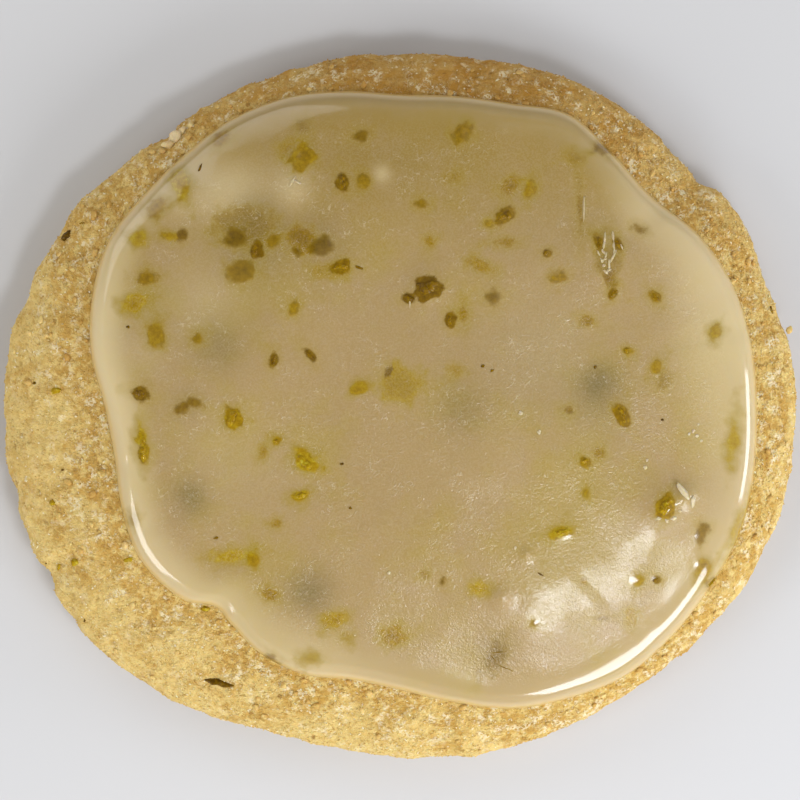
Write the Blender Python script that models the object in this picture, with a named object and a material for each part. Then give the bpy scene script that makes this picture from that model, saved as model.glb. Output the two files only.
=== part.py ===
"""Iced sugar cookie, in metres with +Z up.

A domed drop biscuit with a crumbly rim stands on its flat base. One poured skin of glaze lies
over the dome and stops short of the rim, and flecks of zest stand a little proud of both.
"""

import math

import bmesh
import bpy
from mathutils import Matrix, Vector, noise

MM = 0.001
OBJECT_NAME = "iced_sugar_cookie"
ZEST_NAME = "zest"

# Footprint: radii in millimetres at even steps of angle, counter-clockwise from +X
BISCUIT_RADII = (
    37.9, 37.6, 36.9, 37.1, 35.8, 35.7, 35.3, 34.7, 34.1, 33.7, 33.9, 33.9,
    34.2, 34.5, 35.4, 36.6, 37.3, 37.9, 38.0, 38.1, 37.9, 37.6, 37.1, 35.9,
    34.6, 33.7, 33.4, 33.7, 34.0, 34.4, 34.7, 35.2, 36.1, 36.9, 37.7, 37.8,
)
ICING_RADII = (
    33.8, 33.8, 33.6, 32.6, 31.0, 31.3, 32.0, 30.6, 29.9, 29.6, 30.4, 31.3,
    31.7, 31.6, 31.6, 31.9, 31.1, 29.8, 28.0, 27.5, 28.1, 28.6, 27.8, 26.1,
    26.9, 27.0, 26.3, 26.9, 28.5, 30.6, 32.1, 33.5, 33.9, 34.1, 34.4, 34.1,
)

# Biscuit body
RIM_HEIGHT = 4.0 * MM
CROWN_HEIGHT = 10.7 * MM
CROWN_POWER = 2.5
CROWN_ROOT = 0.52
BASE_REACH = 0.93
SWELL_HEIGHT = 0.45 * MM
SWELL_SIZE = 13.0 * MM

# Crumbly relief of the bare dough round the glaze
BISCUIT_SEGMENTS = 120
BASE_RINGS = 2
FLANK_RINGS = 3
CROWN_RINGS = 15
LUMP_HEIGHT = 0.30 * MM
LUMP_SIZE = 4.6 * MM
CRAG_HEIGHT = 0.16 * MM
CRAG_SIZE = 1.7 * MM
RELIEF_FADE = 2.0 * MM
# Nicks in the rim and in the edge of the glaze: angle and half width in degrees, depth in millimetres
RIM_NICKS = (
    (37.0, 3.5, 0.45),
    (13.0, 3.0, 0.30),
    (131.0, 4.0, 0.35),
    (164.0, 3.5, 0.30),
    (192.5, 3.0, 0.35),
    (205.5, 3.5, 0.55),
    (317.0, 3.0, 0.20),
)
GLAZE_NICKS = ((227.0, 5.0, 0.60),)

# Glaze
GAP = 0.3 * MM
ICING_SEGMENTS = 96
UNDER_RINGS = 8
BEAD_RINGS = 4
TOP_RINGS = 14
LIP_HEIGHT = 0.12 * MM
BEAD_HEIGHT = 1.05 * MM
BEAD_WIDTH = 1.6 * MM
SKIN_HEIGHT = 0.85 * MM
BEAD_FADE = 2.6 * MM
WAVE_HEIGHT = 0.16 * MM
WAVE_SIZE = 8.0 * MM
# Swellings of the glaze over a lump below: x, y, radius and height in millimetres
SWELLINGS = (
    (25.0, -9.2, 3.3, 0.85),
    (19.3, 14.5, 2.8, 0.30),
    (2.1, 10.7, 2.0, 0.22),
    (-17.5, 19.8, 2.2, 0.20),
    (-10.3, 20.2, 1.8, 0.18),
    (-8.8, 15.4, 2.6, 0.18),
)

# Flecks of zest in the glaze: x, y, length and width in millimetres, turn in degrees
ICING_ZEST = (
    (2.4, 11.0, 2.7, 2.2, 10),
    (0.8, 10.2, 1.2, 1.0, 0),
    (19.3, 14.8, 4.0, 2.0, 96),
    (19.8, 10.9, 2.0, 1.2, 84),
    (24.9, -9.5, 2.6, 1.9, 62),
    (15.1, -11.9, 2.4, 1.2, 12),
    (-9.0, -5.2, 2.6, 1.8, -40),
    (20.7, -0.9, 2.3, 1.3, -60),
    (9.8, 17.8, 2.2, 1.6, 40),
    (-15.7, -1.2, 2.2, 1.9, 70),
    (-24.1, -3.9, 3.3, 1.2, 86),
    (-9.1, 23.3, 2.7, 2.0, 58),
    (-5.5, 21.3, 2.0, 1.3, 100),
    (-3.7, 25.2, 1.6, 1.0, 20),
    (-20.6, 20.8, 2.2, 1.6, 110),
    (-14.9, 12.6, 2.4, 1.8, 20),
    (-8.8, 15.4, 3.2, 2.2, -20),
    (-13.1, 14.8, 1.5, 1.3, 0),
    (-15.8, 15.8, 1.6, 1.4, 0),
    (-5.7, 13.0, 1.9, 1.4, 18),
    (-25.1, 9.5, 2.3, 1.8, 15),
    (-23.0, 6.7, 2.1, 1.7, 80),
    (-19.9, 0.2, 2.4, 1.3, 25),
    (-24.6, 1.2, 1.7, 1.2, -15),
    (-9.4, -8.4, 1.5, 1.1, 15),
    (4.6, 8.0, 1.3, 1.0, 80),
    (5.7, 25.5, 2.0, 1.5, 70),
    (-11.9, 4.3, 1.5, 0.9, 80),
    (-8.5, 4.8, 1.3, 0.9, -50),
    (28.1, -12.0, 1.9, 1.2, 76),
    (24.0, 10.3, 1.3, 1.0, -45),
    (23.9, 3.6, 1.5, 1.0, 75),
    (-13.8, -14.6, 1.5, 1.1, 85),
    (28.9, -16.5, 1.4, 1.0, 30),
)
# Flecks and a crumb on the bare dough, given in the same way
BISCUIT_ZEST = (
    (-17.3, -26.5, 2.4, 0.9, -8),
    (-29.7, 17.5, 1.6, 0.8, 5),
    (-31.7, 16.4, 1.1, 0.8, 50),
    (-21.4, 25.5, 1.3, 1.0, 40),
)
FLECK_DEPTH = 0.70 * MM
FLECK_SINK = 0.04 * MM
FLECK_ROUGH = 0.22
WELD = 0.01 * MM

DOUGH_COLOUR = (0.66, 0.45, 0.18, 1.0)
GLAZE_COLOUR = (0.52, 0.39, 0.18, 1.0)


def clear_scene():
    """Remove every object that the file starts with."""
    for old in list(bpy.data.objects):
        bpy.data.objects.remove(old, do_unlink=True)


def new_collection(name, for_tools=False):
    """A collection linked to the scene."""
    group = bpy.data.collections.new(name)
    group.hide_render = for_tools
    bpy.context.scene.collection.children.link(group)
    return group


def move_to(obj, group):
    """Put an object into one collection only."""
    for holder in list(obj.users_collection):
        holder.objects.unlink(obj)
    group.objects.link(obj)


def ease(value):
    """Smooth step from 0 to 1."""
    value = min(max(value, 0.0), 1.0)
    return value * value * (3.0 - 2.0 * value)


def smooth_radius(radii, nicks, angle):
    """Distance to a closed outline that runs smoothly through evenly spaced radii, less its nicks."""
    place = (angle / math.tau) % 1.0 * len(radii)
    index = int(place)
    part = place - index
    before, start, end, after = (radii[(index + step) % len(radii)] for step in (-1, 0, 1, 2))
    bend = 2.0 * before - 5.0 * start + 4.0 * end - after
    twist = 3.0 * start - before - 3.0 * end + after
    radius = start + 0.5 * part * (end - before + part * (bend + part * twist))
    for middle, half_width, depth in nicks:
        off = abs((math.degrees(angle) - middle + 180.0) % 360.0 - 180.0)
        radius -= depth * ease(1.0 - off / half_width)
    return radius * MM


def biscuit_radius(angle):
    """Distance from the middle to the rim of the biscuit."""
    return smooth_radius(BISCUIT_RADII, RIM_NICKS, angle)


def icing_radius(angle):
    """Distance from the middle to the edge of the glaze."""
    return smooth_radius(ICING_RADII, GLAZE_NICKS, angle)


def dough_height(x, y):
    """Height of the dome, without its crumbly relief, above a point of the footprint."""
    reach = min(math.hypot(x, y) / biscuit_radius(math.atan2(y, x)), 1.0)
    dome = (1.0 - reach**CROWN_POWER) ** CROWN_ROOT
    swell = SWELL_HEIGHT * noise.noise(Vector((x, y, 0.0)) / SWELL_SIZE)
    return RIM_HEIGHT + dome * (CROWN_HEIGHT - RIM_HEIGHT + swell)


def dough_relief(point):
    """How far the crumbly surface stands out at a point. It fades to nothing under the glaze."""
    bare = math.hypot(point.x, point.y) - icing_radius(math.atan2(point.y, point.x))
    lumps = LUMP_HEIGHT * noise.noise(point / LUMP_SIZE)
    crags = CRAG_HEIGHT * noise.noise(point / CRAG_SIZE)
    return ease(bare / RELIEF_FADE) * (lumps + crags)


def dough_point(angle, reach, drop=0.0):
    """A point of the biscuit's surface; drop is how far down the flank it is, from 0 to 1."""
    rim = biscuit_radius(angle)
    x = reach * rim * math.cos(angle)
    y = reach * rim * math.sin(angle)
    height = RIM_HEIGHT * (1.0 - drop) if drop else dough_height(x, y)
    point = Vector((x, y, height))
    rise = max(height - RIM_HEIGHT, 0.0) / (CROWN_HEIGHT - RIM_HEIGHT) ** 2
    outward = Vector((x / rim**2, y / rim**2, rise)).normalized()
    point += outward * dough_relief(point)
    if drop >= 1.0:
        point.z = 0.0
    return point


def icing_thickness(x, y):
    """Thickness of the glaze: a rounded bead at its edge, then a thinner uneven skin."""
    inset = icing_radius(math.atan2(y, x)) - math.hypot(x, y)
    if inset < BEAD_WIDTH:
        round_off = 1.0 - max(inset, 0.0) / BEAD_WIDTH
        return LIP_HEIGHT + (BEAD_HEIGHT - LIP_HEIGHT) * math.sqrt(1.0 - round_off**2)
    further = inset - BEAD_WIDTH
    skin = SKIN_HEIGHT + (BEAD_HEIGHT - SKIN_HEIGHT) * math.exp(-((further / BEAD_FADE) ** 2))
    wave = WAVE_HEIGHT * noise.noise(Vector((x, y, WAVE_SIZE)) / WAVE_SIZE)
    lump = 0.0
    for middle_x, middle_y, radius, height in SWELLINGS:
        off = math.hypot(x - middle_x * MM, y - middle_y * MM) / (radius * MM)
        lump += height * MM * math.exp(-(off**2))
    return skin + ease(further / BEAD_FADE) * wave + ease(further / BEAD_WIDTH) * lump


def icing_floor(x, y):
    """Height of the underside of the glaze, clear of the dough along its slope."""
    step = 0.5 * MM
    slope_x = (dough_height(x + step, y) - dough_height(x - step, y)) / (2.0 * step)
    slope_y = (dough_height(x, y + step) - dough_height(x, y - step)) / (2.0 * step)
    return dough_height(x, y) + GAP * math.sqrt(1.0 + slope_x**2 + slope_y**2)


def icing_top(x, y):
    """Height of the top of the glaze."""
    return icing_floor(x, y) + icing_thickness(x, y)


def shaped_ball(name, group, segments, stations, place):
    """A UV sphere whose rings, from the bottom pole up, are moved to the given stations."""
    bpy.ops.mesh.primitive_uv_sphere_add(segments=segments, ring_count=len(stations) - 1)
    obj = bpy.context.object
    obj.name = name
    obj.data.name = name
    move_to(obj, group)
    last = len(stations) - 1
    for vertex in obj.data.vertices:
        rise = math.asin(min(max(vertex.co.z, -1.0), 1.0)) / math.pi + 0.5
        ring = round(rise * last)
        angle = math.atan2(vertex.co.y, vertex.co.x)
        vertex.co = place(angle, stations[ring])
    obj.data.polygons.foreach_set("use_smooth", [True] * len(obj.data.polygons))
    return obj


def biscuit_stations():
    """Reach and drop of each ring of the biscuit, from the middle of its base to the crown."""
    stations = [(BASE_REACH * ring / BASE_RINGS, 1.0) for ring in range(BASE_RINGS + 1)]
    for ring in range(FLANK_RINGS):
        turn = (ring + 1.0) / (FLANK_RINGS + 1.0) * math.pi / 2.0
        bulge = BASE_REACH + (1.0 - BASE_REACH) * math.sin(turn)
        stations.append((bulge, math.cos(turn)))
    for ring in range(CROWN_RINGS + 1):
        stations.append((math.cos(ring / CROWN_RINGS * math.pi / 2.0), 0.0))
    return stations


def icing_stations():
    """Side, share of the way out and inset of each ring of the glaze, from the middle of its underside."""
    stations = []
    for ring in range(UNDER_RINGS + 1):
        stations.append(("under", math.sin(ring / UNDER_RINGS * math.pi / 2.0), 0.0))
    for ring in range(BEAD_RINGS + 1):
        turn = ring / BEAD_RINGS * math.pi / 2.0
        stations.append(("top", 1.0, BEAD_WIDTH * (1.0 - math.cos(turn))))
    for ring in range(1, TOP_RINGS + 1):
        stations.append(("top", math.cos(ring / TOP_RINGS * math.pi / 2.0), BEAD_WIDTH))
    return stations


def icing_point(angle, station):
    """A point of the glaze at one of its stations."""
    side, share, inset = station
    radius = share * (icing_radius(angle) - inset)
    x = radius * math.cos(angle)
    y = radius * math.sin(angle)
    height = icing_floor(x, y) if side == "under" else icing_top(x, y)
    return Vector((x, y, height))


def add_fleck(group, fleck, surface):
    """A small rough chip lying in a surface, most of it below."""
    x, y, length, width, turn = fleck
    bpy.ops.mesh.primitive_ico_sphere_add(subdivisions=1, radius=1.0)
    chip = bpy.context.object
    chip.name = ZEST_NAME
    chip.display_type = "WIRE"
    move_to(chip, group)
    middle = Vector((x * MM, y * MM, 0.0))
    middle.z = surface(middle.x, middle.y) - FLECK_SINK
    for vertex in chip.data.vertices:
        vertex.co *= 1.0 + FLECK_ROUGH * noise.noise(vertex.co * 1.3 + middle / MM)
    size = Matrix.Diagonal((length * MM / 2.0, width * MM / 2.0, FLECK_DEPTH / 2.0, 1.0))
    chip.data.transform(Matrix.Translation(middle) @ Matrix.Rotation(math.radians(turn), 4, "Z") @ size)


def fuse(body, group):
    """Unite a body with everything in a collection, and remove what was fused."""
    modifier = body.modifiers.new("fuse", "BOOLEAN")
    modifier.operation = "UNION"
    modifier.operand_type = "COLLECTION"
    modifier.collection = group
    modifier.solver = "EXACT"
    modifier.use_self = True
    graph = bpy.context.evaluated_depsgraph_get()
    fused = bpy.data.meshes.new_from_object(body.evaluated_get(graph))
    body.modifiers.remove(modifier)
    body.data = fused
    for chip in list(group.objects):
        bpy.data.objects.remove(chip, do_unlink=True)
    bpy.data.collections.remove(group)
    tidy_mesh(fused)


def tidy_mesh(mesh):
    """Weld stray points, make triangles and turn all faces outward."""
    work = bmesh.new()
    work.from_mesh(mesh)
    bmesh.ops.remove_doubles(work, verts=work.verts, dist=WELD)
    bmesh.ops.dissolve_degenerate(work, edges=work.edges, dist=WELD)
    bmesh.ops.triangulate(work, faces=work.faces)
    bmesh.ops.recalc_face_normals(work, faces=work.faces)
    work.to_mesh(mesh)
    work.free()
    mesh.polygons.foreach_set("use_smooth", [True] * len(mesh.polygons))


def give_material(obj, name, colour, roughness):
    """One plain Principled material."""
    material = bpy.data.materials.new(name)
    material.use_nodes = True
    shader = material.node_tree.nodes["Principled BSDF"]
    shader.inputs["Base Color"].default_value = colour
    shader.inputs["Roughness"].default_value = roughness
    obj.data.materials.clear()
    obj.data.materials.append(material)


def centre_on(body, followers):
    """Shift all pieces so that the footprint of the body is centred on the origin."""
    middle = Vector((0.0, 0.0, 0.0))
    for axis in (0, 1):
        values = [vertex.co[axis] for vertex in body.data.vertices]
        middle[axis] = (min(values) + max(values)) / 2.0
    for obj in (body, *followers):
        obj.data.transform(Matrix.Translation(-middle))


def main():
    """Build the biscuit and the glaze."""
    clear_scene()
    parts = new_collection(OBJECT_NAME)

    biscuit = shaped_ball(
        "biscuit", parts, BISCUIT_SEGMENTS, biscuit_stations(),
        lambda angle, station: dough_point(angle, *station),
    )
    chips = new_collection(ZEST_NAME, for_tools=True)
    for fleck in BISCUIT_ZEST:
        add_fleck(chips, fleck, dough_height)
    fuse(biscuit, chips)
    give_material(biscuit, "dough", DOUGH_COLOUR, 0.8)

    icing = shaped_ball("icing", parts, ICING_SEGMENTS, icing_stations(), icing_point)
    chips = new_collection(ZEST_NAME, for_tools=True)
    for fleck in ICING_ZEST:
        add_fleck(chips, fleck, icing_top)
    fuse(icing, chips)
    give_material(icing, "glaze", GLAZE_COLOUR, 0.3)

    centre_on(biscuit, [icing])


main()
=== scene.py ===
"""Looks of the iced sugar cookie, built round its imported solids.

The biscuit and the glaze are modelled again, on the outlines and heights of the solids that they
replace, finely enough for real crumb and a smooth bead. Zest lies in the glaze at several depths:
chips at its surface are meshes of their own, and what is sunk shows as soft colour in the glaze.
Lengths are metres with +Z up. Names that end in _mm are millimetres, in _deg degrees, and in _px
pixels of the photograph, counted from its upper left corner.
"""

import logging
import math
from collections.abc import Callable, Mapping, Sequence
from dataclasses import dataclass
from enum import Enum
from typing import Any

import bpy
import numpy as np
from mathutils import Matrix, Vector, noise


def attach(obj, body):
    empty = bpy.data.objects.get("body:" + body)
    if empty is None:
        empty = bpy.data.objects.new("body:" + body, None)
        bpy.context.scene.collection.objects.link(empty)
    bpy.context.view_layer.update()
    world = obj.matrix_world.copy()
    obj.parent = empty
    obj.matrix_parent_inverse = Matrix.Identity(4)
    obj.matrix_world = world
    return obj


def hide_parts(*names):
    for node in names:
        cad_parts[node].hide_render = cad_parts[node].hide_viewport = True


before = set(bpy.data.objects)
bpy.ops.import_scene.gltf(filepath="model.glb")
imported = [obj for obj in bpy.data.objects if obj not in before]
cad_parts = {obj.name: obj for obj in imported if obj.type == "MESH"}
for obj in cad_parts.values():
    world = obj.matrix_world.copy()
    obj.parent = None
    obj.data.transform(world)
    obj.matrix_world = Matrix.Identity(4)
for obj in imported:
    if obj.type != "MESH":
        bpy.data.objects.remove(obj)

MM = 0.001
SEED = 7
# A finer layer of noise lies over a coarse one: how many times finer, and its share of the strength.
FINER = 2.3
FINER_SHARE = 0.5
FOOTPRINT_SHIFT = Vector((0.117, -0.015, 0.0)) * MM
Array = np.ndarray
Height = Callable[[np.ndarray, np.ndarray], np.ndarray]
Colour = tuple[float, float, float, float]
log = logging.getLogger("cookie")


def ease(value: Array) -> Array:
    """Smooth step from 0 to 1, for arrays."""
    value = np.clip(value, 0.0, 1.0)
    return value * value * (3.0 - 2.0 * value)


def off_side(angle_deg: Array, side_deg: float) -> Array:
    """How many degrees angles are away from one side, from 0 to 180."""
    return np.abs((angle_deg - side_deg + 180.0) % 360.0 - 180.0)


def noise_at(points: Array, size: float, offset: float = 0.0) -> Array:
    """Smooth noise between -1 and 1.

    Args:
        points: Places, one row each.
        size: Width of one wave, in metres.
        offset: Shift along Z in waves, to tell layers of noise apart.

    Returns:
        One value for each place.
    """
    scaled = points / size
    scaled[:, 2] += offset
    return np.array([noise.noise(Vector(place)) for place in scaled])


def grain_at(points: Array, size: float) -> Array:
    """Rounded grains side by side, 1 at the middle of a grain and about 0 between grains.

    Args:
        points: Places, one row each.
        size: Width of a grain, in metres.

    Returns:
        One value for each place.
    """
    nearest = np.array([noise.voronoi(Vector(place))[0][0] for place in points / size])
    return 1.0 - np.clip(nearest, 0.0, 1.0) ** 2


class Graph:
    """The node tree of one material, or of the light all round."""

    def __init__(self, owner: bpy.types.Material | bpy.types.World, shader: str) -> None:
        """Opens the tree.

        Args:
            owner: The material or world that the tree belongs to.
            shader: Name of its shader node.
        """
        owner.use_nodes = True
        self.owner = owner
        self.nodes = owner.node_tree.nodes
        self.links = owner.node_tree.links
        self.shader = self.nodes[shader]

    @classmethod
    def of_material(cls, name: str) -> "Graph":
        """The tree of a new material with a Principled shader."""
        return cls(bpy.data.materials.new(name), "Principled BSDF")

    @classmethod
    def of_sky(cls, name: str) -> "Graph":
        """The tree of a new world with a background shader."""
        return cls(bpy.data.worlds.new(name), "Background")

    def add(
        self,
        kind: str,
        settings: Mapping[str, Any] | None = None,
        inputs: Mapping[str | int, Any] | None = None,
        output: str | int = 0,
    ) -> "Value":
        """Adds one node.

        Args:
            kind: The node's type name.
            settings: Properties of the node, set before its sockets. "stops" are a ramp's.
            inputs: Values or links of its sockets, by name or number.
            output: The output to go on from.

        Returns:
            That output.
        """
        node = self.nodes.new(kind)
        for name, value in (settings or {}).items():
            if name == "stops":
                self._set_stops(node.color_ramp, value)
            else:
                setattr(node, name, value)
        for name, value in (inputs or {}).items():
            self.feed(node.inputs[name], value)
        return Value(self, node.outputs[output])

    @staticmethod
    def _set_stops(ramp: bpy.types.ColorRamp, stops: Sequence[tuple[float, Colour]]) -> None:
        """Gives a colour ramp its stops.

        Args:
            ramp: The ramp.
            stops: Position and colour of each stop.
        """
        while len(ramp.elements) < len(stops):
            ramp.elements.new(1.0)
        for element, (position, colour) in zip(ramp.elements, stops, strict=True):
            element.position = position
            element.color = colour

    def feed(self, socket: bpy.types.NodeSocket, value: Any) -> None:
        """Links a value to a socket, or sets the socket's own number or colour.

        Args:
            socket: The socket.
            value: A value of this tree, a number or a colour.
        """
        if isinstance(value, Value):
            self.links.new(value.socket, socket)
        else:
            socket.default_value = value

    def attribute(self, name: str) -> "Value":
        """A number stored on the mesh's points."""
        return self.add("ShaderNodeAttribute", {"attribute_name": name}, output="Fac")

    def place(self) -> "Value":
        """The place on the object, in metres."""
        return self.add("ShaderNodeTexCoord", output="Object")

    def noise(self, size_mm: float, detail: float = 2.0, rough: float = 0.5) -> "Value":
        """Noise between 0 and 1.

        Args:
            size_mm: Width of its waves.
            detail: How many finer waves it adds.
            rough: How strong those are.

        Returns:
            The noise.
        """
        inputs = {"Vector": self.place(), "Scale": 1.0 / (size_mm * MM)}
        return self.add("ShaderNodeTexNoise", inputs=inputs | {"Detail": detail, "Roughness": rough})

    def grains(self, size_mm: float) -> "Value":
        """Distance from the middle of the nearest cell, for cells of a given width."""
        inputs = {"Vector": self.place(), "Scale": 1.0 / (size_mm * MM)}
        return self.add("ShaderNodeTexVoronoi", inputs=inputs, output="Distance")

    def strokes(self, size_mm: float, width: float = 0.035) -> "Value":
        """Short curved strokes: where one noise passes its middle, broken up by another.

        Args:
            size_mm: Width of the bends.
            width: Width of a stroke, as a share of the noise's range.

        Returns:
            1 on a stroke and 0 off it.
        """
        line = self.noise(size_mm, 1.0) - 0.5
        gaps = self.noise(size_mm * 1.6).between(0.46, 0.60)
        return line.between(-width, 0.0) * line.between(width, 0.0) * gaps

    def coats(self, base: Any, *coats: tuple[Any, Any]) -> "Value":
        """Lays colours over one another.

        Args:
            base: The colour underneath.
            coats: How much of each coat shows, from 0 to 1, and its colour, the lowest coat first.

        Returns:
            The mixed colour.
        """
        settings = {"data_type": "RGBA", "clamp_factor": True}
        for share, colour in coats:
            base = self.add("ShaderNodeMix", settings, {0: share, 6: base, 7: colour}, output=2)
        return base

    def bump(self, height: "Value", depth_mm: float, strength: Any, under: Any = None) -> "Value":
        """Bumps from a height between 0 and 1.

        Args:
            height: The height.
            depth_mm: What a height of 1 stands for.
            strength: How much of the bump shows.
            under: A normal that the bump adds to.

        Returns:
            The new normal.
        """
        inputs = {"Height": height, "Distance": depth_mm * MM, "Strength": strength}
        if under is not None:
            inputs["Normal"] = under
        return self.add("ShaderNodeBump", inputs=inputs)

    def height(self) -> "Value":
        """How high a direction in the sky points, from -1 to 1."""
        direction = self.add("ShaderNodeTexCoord", output="Generated")
        return self.add("ShaderNodeSeparateXYZ", inputs={0: direction}, output="Z")

    def finish(self, sockets: Mapping[str, Any]) -> bpy.types.Material | bpy.types.World:
        """Sets the shader's sockets.

        Args:
            sockets: A number or colour for what is the same all over, a value for what changes.

        Returns:
            The finished material or world.
        """
        for name, value in sockets.items():
            self.feed(self.shader.inputs[name], value)
        return self.owner


class Value:
    """A value in a node tree. Python's operators on it add Math nodes."""

    def __init__(self, graph: Graph, socket: bpy.types.NodeSocket) -> None:
        """Wraps an output socket of a graph."""
        self.graph = graph
        self.socket = socket

    def _math(self, operation: str, first: Any, second: Any = 0.0) -> "Value":
        """One Math node."""
        return self.graph.add("ShaderNodeMath", {"operation": operation}, {0: first, 1: second})

    def __add__(self, other: Any) -> "Value":
        """Sum."""
        return self._math("ADD", self, other)

    __radd__ = __add__

    def __sub__(self, other: Any) -> "Value":
        """Difference."""
        return self._math("SUBTRACT", self, other)

    def __rsub__(self, other: Any) -> "Value":
        """Difference the other way round, as in 1 - mask."""
        return self._math("SUBTRACT", other, self)

    def __mul__(self, other: Any) -> "Value":
        """Product."""
        return self._math("MULTIPLY", self, other)

    __rmul__ = __mul__

    def __truediv__(self, other: Any) -> "Value":
        """Quotient."""
        return self._math("DIVIDE", self, other)

    def between(self, low: float, high: float) -> "Value":
        """Smooth step that is 0 at low and 1 at high."""
        inputs = {"Value": self, "From Min": low, "From Max": high}
        return self.graph.add("ShaderNodeMapRange", {"interpolation_type": "SMOOTHSTEP"}, inputs)

    def ramp(self, *stops: tuple[float, Colour]) -> "Value":
        """Colours along the value from 0 to 1."""
        return self.graph.add("ShaderNodeValToRGB", {"stops": stops}, {"Fac": self})


@dataclass(frozen=True)
class Outline:
    """A closed outline that runs smoothly through evenly spaced radii, less a few nicks.

    A nick is its middle and half its width in degrees, and its depth in millimetres.
    """

    radii_mm: tuple[float, ...]
    nicks: tuple[tuple[float, float, float], ...] = ()

    def radius(self, angle: Array) -> Array:
        """Distance from the middle.

        Args:
            angle: Angles counter-clockwise from +X, in radians.

        Returns:
            The distances in metres.
        """
        radii = np.array(self.radii_mm)
        place = (angle / math.tau) % 1.0 * len(radii)
        index = place.astype(int)
        part = place - index
        before, start, end, after = (radii[(index + step) % len(radii)] for step in (-1, 0, 1, 2))
        bend = 2.0 * before - 5.0 * start + 4.0 * end - after
        twist = 3.0 * start - before - 3.0 * end + after
        radius = start + 0.5 * part * (end - before + part * (bend + part * twist))
        for middle, half_width, depth in self.nicks:
            radius = radius - depth * ease(1.0 - off_side(np.degrees(angle), middle) / half_width)
        return radius * MM


RIM = Outline(
    radii_mm=(
        37.9, 37.6, 36.9, 37.1, 35.8, 35.7, 35.3, 34.7, 34.1, 33.7, 33.9, 33.9,
        34.2, 34.5, 35.4, 36.6, 37.3, 37.9, 38.0, 38.1, 37.9, 37.6, 37.1, 35.9,
        34.6, 33.7, 33.4, 33.7, 34.0, 34.4, 34.7, 35.2, 36.1, 36.9, 37.7, 37.8,
    ),
    nicks=(
        (37.0, 3.5, 0.45),
        (13.0, 3.0, 0.30),
        (131.0, 4.0, 0.35),
        (164.0, 3.5, 0.30),
        (192.5, 3.0, 0.35),
        (205.5, 3.5, 0.55),
        (317.0, 3.0, 0.20),
    ),
)
GLAZE_EDGE = Outline(
    radii_mm=(
        33.8, 33.8, 33.6, 32.6, 31.0, 31.3, 32.0, 30.6, 29.9, 29.6, 30.4, 31.3,
        31.7, 31.6, 31.6, 31.9, 31.1, 29.8, 28.0, 27.5, 28.1, 28.6, 27.8, 26.1,
        26.9, 27.0, 26.3, 26.9, 28.5, 30.6, 32.1, 33.5, 33.9, 34.1, 34.4, 34.1,
    ),
    nicks=((227.0, 5.0, 0.60),),
)


@dataclass(frozen=True)
class Viewpoint:
    """Where the photograph was taken from: straight above, a little off the middle.

    The place seen at a pixel is found by a few tries, each at the height found by the last.
    """

    picture_px: float = 800.0
    px_per_mm: float = 10.42
    middle_px: tuple[float, float] = (401.0, 406.0)
    lens_mm: float = 135.0
    sensor_mm: float = 36.0
    focus_height: float = 4.0 * MM
    tries: int = 3
    slope_step: float = 0.3 * MM

    @property
    def width(self) -> float:
        """Width of the picture at the height of the rim."""
        return self.picture_px / self.px_per_mm * MM

    @property
    def distance(self) -> float:
        """Distance from the camera to that height."""
        return self.width * self.lens_mm / self.sensor_mm

    @property
    def centre(self) -> tuple[float, float]:
        """Point of the cookie that is under the camera.

        Returns:
            Its x and y.
        """
        half = self.picture_px / 2.0
        right_px, up_px = half - self.middle_px[0], self.middle_px[1] - half
        return right_px / self.px_per_mm * MM, up_px / self.px_per_mm * MM

    def on_cookie(self, x_px: float, y_px: float, height: float) -> tuple[float, float]:
        """The place seen at a pixel of the photograph.

        Args:
            x_px: Pixels from the left.
            y_px: Pixels from the top.
            height: Height of what is seen there.

        Returns:
            Its x and y.
        """
        half = self.picture_px / 2.0
        closer = 1.0 - (height - self.focus_height) / self.distance
        x = self.centre[0] + (x_px - half) / self.px_per_mm * MM * closer
        y = self.centre[1] + (half - y_px) / self.px_per_mm * MM * closer
        return x, y

    def on_surface(
        self, surface: Height, x_px: float, y_px: float, turn_deg: float = 0.0
    ) -> tuple[Array, Array]:
        """The place on a surface that is seen at a pixel, and the directions there.

        Args:
            surface: Gives the surface's height above x and y.
            x_px: Pixels from the left.
            y_px: Pixels from the top.
            turn_deg: Turn of the first direction about the upright.

        Returns:
            The place, and three unit rows: along, across and away from the surface.
        """
        top = DOUGH.crown_height
        for _ in range(self.tries):
            x, y = self.on_cookie(x_px, y_px, top)
            top = float(surface(np.array([x]), np.array([y]))[0])
        step = self.slope_step
        heights = surface(np.array([x + step, x - step, x, x]), np.array([y, y, y + step, y - step]))
        away = np.array([heights[1] - heights[0], heights[3] - heights[2], 2.0 * step])
        away /= np.linalg.norm(away)
        turn = math.radians(turn_deg)
        across = np.cross(away, [math.cos(turn), math.sin(turn), 0.0])
        across /= np.linalg.norm(across)
        return np.array([x, y, top]), np.vstack([np.cross(across, away), across, away])


VIEW = Viewpoint()


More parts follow.
